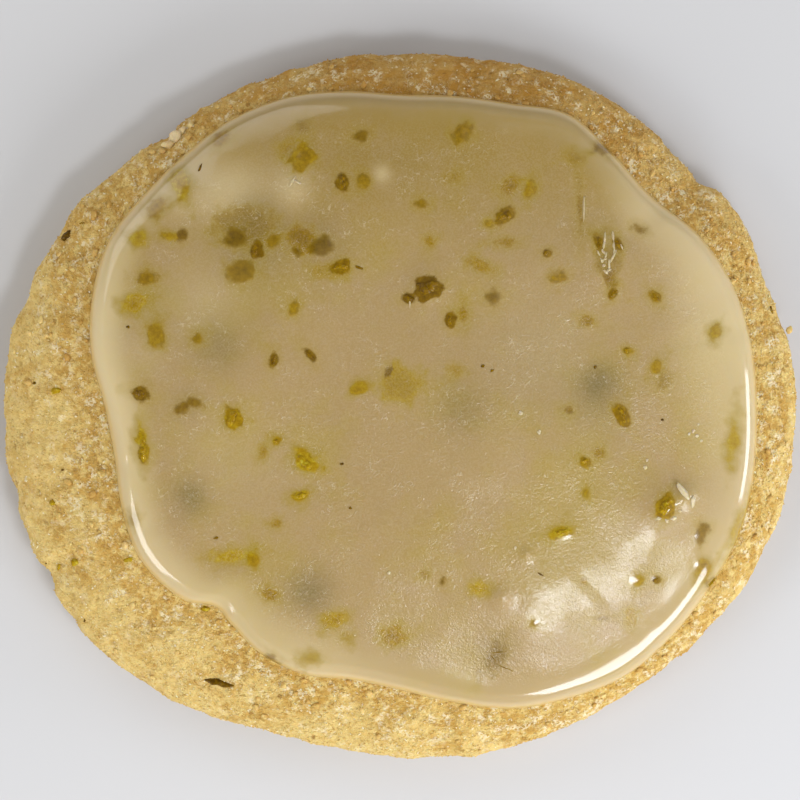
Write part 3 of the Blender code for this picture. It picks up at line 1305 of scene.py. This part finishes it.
class Depth(Enum):
    """How deep a fleck lies in the glaze: its layer, and the width of its edge in millimetres."""

    SURFACE = ("near", 0.28)
    SHALLOW = ("near", 0.46)
    VEILED = ("near", 0.60)
    SUNK = ("deep", 0.45)
    DEEP = ("deep", 0.80)

    @property
    def layer(self) -> str:
        """Which of the two layers of flecks it is in."""
        return self.value[0]

    @property
    def soft_mm(self) -> float:
        """Width of its edge."""
        return self.value[1]


@dataclass(frozen=True)
class Fleck:
    """One bit of zest as seen in the photograph; gold runs from 0, dark olive, to 1, bright yellow."""

    x_px: float
    y_px: float
    length_px: float
    width_px: float
    turn_deg: float
    depth: Depth
    gold: float


def flecks(depth: Depth, *rows: tuple[float, float, float, float, float, float]) -> tuple[Fleck, ...]:
    """Flecks of one depth, each row giving x, y, length, width, turn and gold."""
    return tuple(Fleck(*row[:5], depth, row[5]) for row in rows)


def curl(width_px: float, gold: float, *bends: tuple[float, float]) -> tuple[Fleck, ...]:
    """A thin curled shred, as short flecks that overlap along its bends.

    Args:
        width_px: Its width.
        gold: Its gold.
        bends: The pixels that it runs through.

    Returns:
        The flecks.
    """
    overlap = 1.45
    pieces = []
    for (x_px, y_px), (next_x, next_y) in zip(bends, bends[1:]):
        run, climb = next_x - x_px, y_px - next_y
        length = overlap * math.hypot(run, climb)
        turn = math.degrees(math.atan2(climb, run))
        middle = (x_px + next_x) / 2.0, (y_px + next_y) / 2.0
        pieces.append(Fleck(*middle, length, width_px, turn, Depth.SURFACE, gold))
    return tuple(pieces)


ZEST = (
    *flecks(
        Depth.SURFACE,
        (427, 288, 29, 24, 10, 0.20),
        (409, 298, 14, 11, 0, 0.15),
        (599, 243, 17, 9, 100, 0.50),
        (618, 244, 13, 9, 120, 0.42),
        (613, 294, 14, 10, 60, 0.45),
        (667, 507, 27, 20, 62, 0.75),
        (562, 533, 26, 12, 12, 0.95),
        (305, 461, 28, 19, -40, 0.95),
        (301, 496, 16, 11, 15, 0.90),
        (622, 415, 25, 13, -60, 0.55),
        (505, 216, 23, 16, 40, 0.50),
        (233, 419, 24, 20, 70, 0.75),
        (142, 440, 26, 9, 98, 1.0),
        (144, 453, 24, 14, 88, 0.80),
        (274, 360, 16, 9, 80, 0.35),
        (310, 355, 14, 8, -50, 0.22),
        (450, 321, 13, 11, 80, 0.30),
        (277, 441, 9, 7, 20, 0.85),
        (547, 253, 9, 8, 0, 0.35),
        (343, 182, 20, 14, 100, 0.40),
        (341, 267, 20, 14, 18, 0.50),
        (256, 250, 16, 13, 80, 0.30),
        (139, 394, 18, 13, -15, 0.25),
        (586, 462, 12, 10, -30, 0.75),
        (655, 297, 15, 10, -45, 0.65),
        (628, 351, 9, 8, 0, 0.80),
        (657, 580, 9, 8, 0, 0.40),
        (712, 582, 14, 10, 30, 0.70),
    ),
    *flecks(
        Depth.SHALLOW,
        (304, 158, 28, 21, 58, 0.78),
        (363, 180, 14, 10, 80, 0.70),
        (361, 135, 16, 10, 20, 0.35),
        (181, 184, 27, 18, 110, 1.0),
        (182, 235, 12, 11, 0, 0.10),
        (172, 236, 18, 7, 0, 0.85),
        (273, 241, 13, 12, 80, 0.58),
        (147, 279, 18, 11, 20, 0.55),
        (156, 334, 23, 18, 80, 0.75),
        (461, 132, 21, 15, 70, 0.60),
        (422, 203, 12, 11, 0, 0.50),
        (701, 534, 19, 12, 76, 0.30),
        (656, 367, 17, 11, 75, 0.80),
        (254, 561, 16, 12, 85, 0.80),
        (638, 581, 13, 11, 0, 0.85),
        (703, 568, 18, 13, 60, 0.80),
        (443, 581, 9, 6, 80, 0.25),
        (270, 659, 18, 7, -20, 0.30),
        (530, 190, 20, 11, 70, 0.85),
        (489, 224, 10, 8, 0, 0.85),
        (604, 149, 16, 10, -30, 0.35),
        (535, 623, 9, 8, 0, 0.70),
        (587, 494, 10, 6, 80, 0.85),
        (716, 332, 14, 13, 0, 0.90),
        (198, 338, 13, 10, 60, 0.60),
        (293, 309, 12, 10, 70, 0.75),
        (360, 388, 16, 13, 20, 0.85),
        (557, 278, 16, 9, 15, 0.55),
        (182, 408, 15, 10, 40, 0.25),
        (194, 402, 17, 9, -15, 0.30),
        (296, 252, 9, 5, -50, 0.20),
    ),
    *flecks(
        Depth.VEILED,
        (322, 247, 22, 19, 0, 0.04),
        (241, 271, 28, 21, 20, 0.46),
        (236, 238, 23, 20, 0, 0.12),
        (493, 297, 14, 13, 0, 0.10),
    ),
    *flecks(
        Depth.SUNK,
        (302, 240, 28, 26, 0, 0.60),
        (222, 139, 17, 11, 35, 0.65),
        (156, 207, 18, 15, 50, 0.65),
        (133, 303, 27, 19, 15, 1.00),
        (139, 238, 18, 14, 0, 1.00),
        (390, 373, 15, 14, 0, 0.10),
        (483, 267, 23, 10, -20, 0.70),
        (510, 186, 18, 15, 40, 0.65),
        (429, 241, 10, 9, 0, 0.70),
        (505, 242, 15, 6, 0, 0.60),
        (463, 315, 7, 18, 0, 0.60),
        (640, 229, 12, 8, -30, 0.35),
        (263, 451, 7, 11, 0, 0.70),
        (276, 524, 9, 8, 0, 0.70),
        (232, 556, 34, 12, 8, 1.00),
        (335, 621, 22, 15, 20, 0.90),
        (270, 594, 14, 12, 0, 0.65),
        (393, 636, 26, 20, 10, 0.75),
        (479, 588, 18, 12, 0, 0.95),
        (423, 573, 7, 6, 0, 0.50),
        (598, 453, 8, 7, 0, 0.60),
        (568, 410, 9, 8, 0, 0.30),
        (584, 582, 8, 7, 0, 0.60),
        (605, 618, 14, 4, 0, 0.30),
        (632, 617, 12, 14, 0, 0.85),
        (739, 528, 40, 9, 68, 0.95),
        (733, 441, 34, 10, 84, 1.00),
        (609, 274, 34, 12, 92, 0.40),
        (580, 205, 32, 5, 92, 0.45),
        (588, 320, 12, 10, 0, 0.60),
    ),
    *flecks(
        Depth.DEEP,
        (400, 384, 40, 34, 0, 0.90),
        (607, 252, 48, 26, 96, 0.40),
        (302, 125, 14, 12, 0, 0.30),
        (455, 177, 14, 12, 0, 0.60),
        (576, 158, 16, 13, 0, 0.60),
        (663, 380, 14, 18, 0, 0.40),
        (311, 658, 14, 10, 0, 0.85),
        (347, 638, 10, 8, 0, 0.75),
        (495, 655, 16, 42, -30, 0.10),
        (246, 228, 58, 42, 0, 0.50),
        (292, 150, 26, 20, 0, 0.70),
        (455, 371, 10, 8, 0, 0.70),
        (330, 270, 30, 14, 0, 0.70),
        (133, 521, 9, 12, 0, 0.50),
    ),
)

RIM_ZEST = flecks(
    Depth.SURFACE,
    (219, 684, 24, 8, -8, -0.05),
    (88, 222, 17, 8, 5, 0.35),
    (68, 233, 12, 8, 50, -0.10),
    (92, 205, 9, 4, 20, 0.20),
    (85, 619, 6, 3, 60, -0.10),
    (772, 312, 9, 5, -60, 0.30),
    (47, 563, 5, 3, 30, 0.20),
    (54, 503, 7, 6, 0, 0.95),
    (63, 470, 3, 2, 0, -0.10),
    (76, 562, 9, 7, 20, 0.95),
    (59, 566, 7, 4, 60, 0.95),
    (131, 559, 10, 5, 20, 0.95),
    (208, 609, 9, 6, 0, 0.95),
    (58, 390, 12, 7, 10, 0.95),
    (35, 383, 4, 3, 0, 0.10),
)
SPECKS = flecks(
    Depth.SURFACE,
    (596, 367, 4, 3, 0, 0.10),
    (663, 420, 3, 3, 0, -0.20),
    (484, 366, 4, 3, 0, 0.25),
    (493, 370, 4, 3, 30, 0.35),
    (343, 464, 4, 3, 0, 0.10),
    (351, 508, 3, 3, 0, 0.10),
    (129, 327, 4, 3, 0, 0.0),
    (217, 538, 5, 3, 0, 0.20),
    (201, 166, 9, 3, 70, 0.0),
    (542, 575, 6, 2, -30, -0.10),
    (502, 652, 15, 1.2, 5, 0.30),
    (510, 670, 16, 1.2, -25, 0.40),
    (495, 660, 9, 1.2, -50, 0.30),
    (361, 268, 8, 3, -15, 0.20),
)
# Pale clear beads: a few bubbles, the rest painted glints and highlights, among them the crescent on the
# big bump.
BEADS_AND_GLINTS = flecks(
    Depth.SURFACE,
    (605, 265.5, 4, 3, 10, 0.5),
    (584, 203, 34, 2.4, 88, 0.2),
    (410, 299, 12, 2.0, 88, 0.6),
    (390, 573, 4, 4, 0, 0.8),
    (522, 413, 5, 4, 0, 0.8),
    (540, 432, 4, 4, 0, 0.8),
    (694, 430, 4, 3, 60, 0.9),
    (698, 436, 4, 3, 0, 0.9),
    (690, 434, 3, 3, 0, 0.9),
    (702, 441, 3, 3, 0, 0.9),
    (699, 424, 3, 2, 30, 0.9),
    (646, 466, 5, 4, 70, 0.9),
    (648, 460, 3, 3, 0, 0.9),
    (516, 548, 3, 3, 0, 0.9),
    (660, 518, 6, 4, 20, 0.9),
    (668, 521, 5, 4, -20, 0.9),
    (675, 518, 6, 4, 10, 0.9),
    (681, 511, 4, 3, 0, 0.9),
    (687, 496, 20, 6, -50, 0.9),
    (693, 505, 12, 5, -75, 0.9),
    (294, 179, 12, 3, 60, 0.6),
    (299, 183, 10, 3, -30, 0.6),
)
CURLS = (
    *curl(
        2.4, 0.5, (605, 237), (604, 245), (603, 251), (606, 255), (605, 259), (602, 261), (600.5, 257.5)
    ),
    *curl(
        2.4, 0.5, (613, 235), (614, 244), (614.5, 251), (613.5, 256), (609, 264), (609, 270), (606, 272),
        (602.5, 269.5),
    ),
    *curl(2.0, 0.5, (598, 252), (600.5, 255.5)),
    *curl(2.0, 0.6, (621.5, 246), (623, 250.5)),
)
# Tones of clear glaze; the pale end paints glints and highlights.
CLEAR_AND_GLINT_TONES = (
    (0.0, (0.42, 0.30, 0.13, 1.0)),
    (1.0, (0.66, 0.56, 0.36, 1.0)),
)


@dataclass(frozen=True)
class ZestChips:
    """Chips of zest that stand a little out of a surface."""

    name: str
    node: str
    slot: str
    surface: Height
    shown: tuple[Fleck, ...]
    finish: ZestFinish = ZestFinish()
    size: float = 1.0
    proud: float = 0.26 * MM
    thickness: float = 0.80 * MM
    single_px: float = 7.0
    lobe_px: float = 13.0
    lobe_size: float = 0.78
    stray: float = 0.45

    def build(self) -> bpy.types.Object:
        """Models and dresses the chips, the bigger ones as a few lobes.

        Returns:
            Their object.
        """
        lumps = Lumps(18, 11)
        random = np.random.default_rng(SEED + 2)
        for fleck in self.shown:
            place, axes = VIEW.on_surface(self.surface, fleck.x_px, fleck.y_px, fleck.turn_deg)
            halves = np.array([fleck.length_px, fleck.width_px]) / VIEW.px_per_mm / 2.0 * MM * self.size
            lobes = 1 if fleck.width_px < self.single_px else 1 + int(fleck.length_px / self.lobe_px)
            if lobes > 1:
                halves = halves * self.lobe_size
            high_half = min(self.thickness / 2.0, halves[1] * 0.9)
            sunk = place + axes[2] * (min(self.proud, halves[1] * 0.6) - high_half)
            for lobe in range(lobes):
                along = (lobe / max(lobes - 1, 1) - 0.5) * halves[0]
                across = float(random.uniform(-1.0, 1.0)) * self.stray * halves[1] * (lobes > 1)
                middle = sunk + axes[0] * along + axes[1] * across
                gold = fleck.gold + float(random.uniform(-0.12, 0.12)) * (lobes > 1)
                size = axes * np.array([*halves, high_half])[:, None]
                lumps.add(middle, size, 0.45, 0.8, gold=gold)
        obj = lumps.build(self.name)
        place_on_root(obj, self.node, self.slot, self.finish.material(self.name))
        return obj


@dataclass(frozen=True)
class Cloud:
    """A soft light or dark place in the glaze, as seen in the photograph."""

    x_px: float
    y_px: float
    radius_px: float
    strength: float


SHADES = (
    Cloud(252, 240, 32, 0.36),
    Cloud(318, 246, 26, 0.30),
    Cloud(255, 212, 22, 0.18),
    Cloud(219, 345, 24, 0.34),
    Cloud(190, 497, 18, 0.52),
    Cloud(310, 592, 23, 0.54),
    Cloud(599, 383, 19, 0.44),
    Cloud(495, 650, 18, 0.30),
    Cloud(462, 411, 26, 0.28),
    Cloud(188, 404, 16, 0.25),
    Cloud(600, 400, 34, 0.22),
    Cloud(530, 360, 60, 0.16),
)
HONEYS = (
    Cloud(575, 545, 75, 1.00),
    Cloud(560, 430, 60, 0.60),
    Cloud(690, 420, 60, 0.70),
    Cloud(320, 470, 36, 0.60),
    Cloud(230, 430, 34, 0.60),
    Cloud(245, 275, 44, 0.70),
    Cloud(145, 300, 34, 0.50),
    Cloud(410, 385, 40, 0.60),
    Cloud(440, 150, 40, 0.60),
)
MILKS = (
    Cloud(215, 192, 30, 0.75),
    Cloud(245, 185, 24, 0.45),
    Cloud(292, 188, 20, 0.75),
    Cloud(382, 174, 9, 0.80),
    Cloud(300, 655, 40, 0.50),
    Cloud(180, 207, 16, 0.35),
    Cloud(205, 300, 34, 0.40),
    Cloud(140, 350, 26, 0.35),
    Cloud(640, 215, 26, 0.30),
    Cloud(705, 345, 40, 0.45),
    Cloud(540, 355, 46, 0.22),
    Cloud(230, 460, 50, 0.22),
    Cloud(607, 240, 9, 0.80),
)


@dataclass(frozen=True)
class Icing:
    """The glaze with the colour of everything that is sunk in it.

    The pale rim, partly the thick bead's own colour and partly painted light, is given by angle in degrees,
    strength, and width in millimetres.
    """

    segments: int = 896
    bead_rings: int = 10
    seat_reaches: tuple[float, ...] = (0.06, 0.18, 0.36, 0.56, 0.76, 0.90, 0.97)
    lip: float = 0.2 * MM
    ring_pitch: float = 0.24 * MM
    fewest: int = 14
    halving_lead: float = 1.02
    core_reach: float = 0.125
    core_widening: float = 0.8
    core_rings: float = 2.5
    fleck_wave: float = 1.3 * MM
    fleck_ripple: float = 0.45
    fleck_reach_mm: float = 1.2
    fleck_rise: float = 0.12 * MM
    fleck_slope: float = 0.06
    # Pale rim: partly the bead's own colour, and painted light whose strength changes round the edge.
    pale_rim_and_light: tuple[tuple[float, float, float], ...] = (
        (0, 0.42, 9.0), (20, 0.60, 8.5), (34, 0.50, 6.0), (50, 0.18, 4.0), (90, 0.08, 4.0),
        (125, 0.10, 4.0), (147, 0.45, 4.5), (165, 0.78, 4.8), (187, 0.70, 4.8), (210, 0.58, 5.0),
        (240, 0.40, 5.5), (275, 0.20, 5.0), (300, 0.18, 5.0), (330, 0.28, 6.0),
    )

    def build(self) -> bpy.types.Object:
        """Models, colours and dresses the glaze.

        Returns:
            Its object.
        """
        stack, first_on_top = self._rings()
        points, faces = stack.shape()
        layers, rise = self._zest(points)
        points[first_on_top:, 2] += rise[first_on_top:]
        obj = make_object("icing_skin", points, faces)
        for name, values in layers.items():
            store(obj, name, values)
        self._colour(obj, points)
        place_on_root(obj, "icing", "glaze", GlazeFinish().material())
        return obj

    def _rings(self) -> tuple[RingStack, int]:
        """Stacks the rings: the underside, the bead, then the top in ever smaller rings.

        Returns:
            The stack, and the index of the first point of the top.
        """
        stack = RingStack()
        halvings = len(self.seat_reaches)
        for index, share in enumerate(self.seat_reaches):
            angle = stack.angles(self.segments >> (halvings - index))
            stack.add(self._ring(angle, share * GLAZE_EDGE.radius(angle), self._underside))
        angle = stack.angles(self.segments)
        edge = GLAZE_EDGE.radius(angle)
        stack.add(self._ring(angle, edge - self.lip, self._underside))
        first_on_top = 1 + sum(len(ring) for ring in stack.rings)
        for ring in range(self.bead_rings):
            turn = ring / self.bead_rings * math.pi / 2.0
            stack.add(self._ring(angle, edge - GLAZE.bead_width * (1.0 - math.cos(turn)), GLAZE.top))
        count = self.segments
        mean = float(edge.mean()) - GLAZE.bead_width
        radius = mean
        while radius > self.core_rings * self.ring_pitch:
            halves_at = mean * count / self.segments / 2.0 * self.halving_lead
            if radius < halves_at and count // 2 >= self.fewest:
                count //= 2
            angle = stack.angles(count)
            inside = GLAZE_EDGE.radius(angle) - GLAZE.bead_width
            stack.add(self._ring(angle, inside * radius / mean, GLAZE.top))
            in_core = max(0.0, 1.0 - radius / mean / self.core_reach)
            radius -= self.ring_pitch * (1.0 + self.core_widening * in_core)
        return stack, first_on_top

    @staticmethod
    def _ring(angle: Array, radius: Array, height: Height) -> Array:
        """Points of one ring.

        Args:
            angle: Their angles.
            radius: Their distances from the middle.
            height: Gives the height above x and y.

        Returns:
            One row for each point.
        """
        x = radius * np.cos(angle)
        y = radius * np.sin(angle)
        return np.column_stack((x, y, height(x, y)))

    @staticmethod
    def _underside(x: Array, y: Array) -> Array:
        """Height of the underside, seated a little into the crumb so that no gap shows."""
        return DOUGH.height(x, y) - GLAZE.seat * GLAZE.seat_spare

    def _zest(self, points: Array) -> tuple[dict[str, Array], Array]:
        """Finds how far each point is inside the flecks of each layer.

        Args:
            points: Places, one row each.

        Returns:
            Reach in millimetres, softness and gold by layer, and how far the glaze rises over flecks.
        """
        wobble = noise_at(points, self.fleck_wave)
        wobble += FINER_SHARE * noise_at(points, self.fleck_wave / FINER)
        rise = np.zeros(len(points))
        layers: dict[str, Array] = {}
        for layer in ("near", "deep"):
            layers[f"{layer}_reach"] = np.full(len(points), -self.fleck_reach_mm)
            layers[f"{layer}_soft"] = np.full(len(points), 0.3)
            layers[f"{layer}_gold"] = np.full(len(points), 0.5)
        for fleck in ZEST:
            layer = fleck.depth.layer
            narrow_mm = min(fleck.length_px, fleck.width_px) / VIEW.px_per_mm
            middle = VIEW.on_surface(GLAZE.top, fleck.x_px, fleck.y_px)[0]
            off = self._off_centre(points, middle, fleck) * (1.0 + self.fleck_ripple * wobble)
            reach = (1.0 - off) * narrow_mm / 2.0
            inside = reach > layers[f"{layer}_reach"]
            layers[f"{layer}_reach"][inside] = reach[inside]
            layers[f"{layer}_soft"][inside] = fleck.depth.soft_mm
            layers[f"{layer}_gold"][inside] = fleck.gold
            if layer == "near":
                height = min(self.fleck_rise, self.fleck_slope * narrow_mm * MM)
                rise = np.maximum(rise, height * np.exp(-(off**2)))
        return layers, rise

    def _colour(self, obj: bpy.types.Object, points: Array) -> None:
        """Stores the clouds, the distance from the edge, the pale rim with its painted light and the
        painted shade over the upper side for the material.

        Args:
            obj: The glaze.
            points: Its points.
        """
        wobble = noise_at(points, self.fleck_wave * 3.0)
        angle = np.degrees(np.arctan2(points[:, 1], points[:, 0]))
        inset = GLAZE.inset(points[:, 0], points[:, 1]) / MM
        turn, strength, width = (np.array(column) for column in zip(*self.pale_rim_and_light, strict=True))
        strength = np.interp(angle, turn, strength, period=360.0)
        width = np.interp(angle, turn, width, period=360.0)
        # Pale rim, partly painted light.
        store(obj, "pale_rim_and_light", strength * ease((width - inset) / (width - 1.2)))
        # Painted shade, stronger towards the upper side.
        store(obj, "upper", ease((points[:, 1] / MM - 10.0) / 15.0))
        store(obj, "honey", self._clouds(points, wobble, HONEYS))
        store(obj, "shade", self._clouds(points, wobble, SHADES))
        store(obj, "milk", self._clouds(points, wobble, MILKS))
        store(obj, "inset", inset)

    @staticmethod
    def _off_centre(points: Array, middle: Array, fleck: Fleck) -> Array:
        """Distance from a fleck's middle, 1 at its edge.

        Args:
            points: Places, one row each.
            middle: The fleck's middle.
            fleck: The fleck.

        Returns:
            One distance for each place.
        """
        turn = math.radians(fleck.turn_deg)
        dx = points[:, 0] - middle[0]
        dy = points[:, 1] - middle[1]
        along = dx * math.cos(turn) + dy * math.sin(turn)
        across = dy * math.cos(turn) - dx * math.sin(turn)
        half = MM / (2.0 * VIEW.px_per_mm)
        return np.hypot(along / (fleck.length_px * half), across / (fleck.width_px * half))

    @staticmethod
    def _clouds(points: Array, wobble: Array, clouds: Sequence[Cloud]) -> Array:
        """Strength of soft clouds.

        Args:
            points: Places, one row each.
            wobble: Noise that breaks up their edges.
            clouds: The clouds.

        Returns:
            One strength for each place, from 0 to 1.
        """
        total = np.zeros(len(points))
        for cloud in clouds:
            middle = VIEW.on_surface(GLAZE.top, cloud.x_px, cloud.y_px)[0]
            off = np.hypot(points[:, 0] - middle[0], points[:, 1] - middle[1])
            off = off / (cloud.radius_px / VIEW.px_per_mm * MM) * (1.0 + 0.12 * wobble)
            total += cloud.strength * np.exp(-(off**2))
        return np.clip(total, 0.0, 1.0)


COOL = (0.88, 0.92, 1.0)


@dataclass(frozen=True)
class Lamp:
    """A soft rectangular light that faces the cookie, placed by its direction; power is in watts."""

    name: str
    azimuth_deg: float
    zenith_deg: float
    width: float
    height: float
    power: float
    tint: tuple[float, float, float] = (0.97, 0.98, 1.0)
    distance: float = 0.36

    def hang(self) -> None:
        """Adds the light."""
        light = bpy.data.lights.new(self.name, "AREA")
        light.shape = "RECTANGLE"
        light.size = self.width
        light.size_y = self.height
        light.energy = self.power
        light.color = self.tint
        holder = bpy.data.objects.new(self.name, light)
        bpy.context.scene.collection.objects.link(holder)
        turn, lean = math.radians(self.azimuth_deg), math.radians(self.zenith_deg)
        out = math.sin(lean)
        away = Vector((out * math.cos(turn), out * math.sin(turn), math.cos(lean)))
        holder.location = away * self.distance
        holder.rotation_euler = (-away).to_track_quat("-Z", "Y").to_euler()


@dataclass(frozen=True)
class Studio:
    """Plain pale floor, soft lights and the camera above the cookie."""

    floor_size: float = 3.0
    floor_colour: Colour = (0.60, 0.59, 0.58, 1.0)
    sky_colour: Colour = (1.0, 0.98, 0.95, 1.0)
    sky_side: float = 0.50
    sky_above: float = 0.12
    lamps: tuple[Lamp, ...] = (
        Lamp("edge", azimuth_deg=-54.0, zenith_deg=62.0, width=0.21, height=0.15, power=0.85, tint=COOL),
        Lamp("upper", azimuth_deg=-53.0, zenith_deg=29.5, width=0.09, height=0.055, power=0.38, tint=COOL),
        Lamp("right", azimuth_deg=10.0, zenith_deg=50.0, width=0.50, height=0.50, power=0.26, tint=COOL),
        Lamp("side", azimuth_deg=-4.0, zenith_deg=77.0, width=0.12, height=0.12, power=0.30, tint=COOL),
        Lamp("fill", azimuth_deg=210.0, zenith_deg=57.0, width=0.16, height=0.19, power=0.44),
        Lamp("rear", azimuth_deg=130.0, zenith_deg=58.0, width=0.30, height=0.26, power=0.28),
    )

    def build(self, shift: Vector) -> None:
        """Adds floor, lights and camera.

        Args:
            shift: Where the outlines' middle lies in the frame.
        """
        self._floor()
        sky = Graph.of_sky("studio")
        overhead = sky.height().between(0.62, 0.88)
        strength = self.sky_side + overhead * (self.sky_above - self.sky_side)
        bpy.context.scene.world = sky.finish({"Color": self.sky_colour, "Strength": strength})
        for lamp in self.lamps:
            lamp.hang()
        camera = bpy.data.cameras.new("camera")
        camera.lens = VIEW.lens_mm
        camera.sensor_width = VIEW.sensor_mm
        camera.clip_start = 0.01
        holder = bpy.data.objects.new("camera", camera)
        bpy.context.scene.collection.objects.link(holder)
        height = VIEW.focus_height + VIEW.distance
        holder.location = (VIEW.centre[0] + shift.x, VIEW.centre[1] + shift.y, height)
        bpy.context.scene.camera = holder
        bpy.context.scene.view_settings.view_transform = "Standard"

    def _floor(self) -> None:
        """Adds the floor."""
        half = self.floor_size / 2.0
        corners = np.array([(-half, -half, 0.0), (half, -half, 0.0), (half, half, 0.0), (-half, half, 0.0)])
        floor = make_object("floor", corners, [(0, 1, 2, 3)])
        paint = Graph.of_material("pale_floor").finish({"Base Color": self.floor_colour, "Roughness": 0.8})
        floor.data.materials.append(paint)


def main() -> None:
    """Builds the cookie round its frame and sets the studio up."""
    logging.basicConfig(level=logging.INFO, format="%(message)s")
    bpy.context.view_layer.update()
    on_surface = tuple(fleck for fleck in ZEST if fleck.depth is Depth.SURFACE)
    clear = ZestFinish(CLEAR_AND_GLINT_TONES)
    makers = (
        Biscuit(),
        CrumbGrains(),
        LooseCrumbs(),
        ZestChips("rim_zest", "biscuit", "dough", DOUGH.height, RIM_ZEST),
        Icing(),
        ZestChips("glaze_zest", "icing", "glaze", GLAZE.top, on_surface, size=0.62),
        ZestChips("glaze_specks", "icing", "glaze", GLAZE.top, SPECKS),
        # Clear beads, with painted glints and highlights in their pale colour.
        ZestChips("glaze_beads_and_glints", "icing", "glaze", GLAZE.top, BEADS_AND_GLINTS + CURLS, clear),
    )
    for maker in makers:
        maker.build().data.transform(Matrix.Translation(FOOTPRINT_SHIFT))
    Studio().build(FOOTPRINT_SHIFT)


if __name__ == "__main__":
    main()
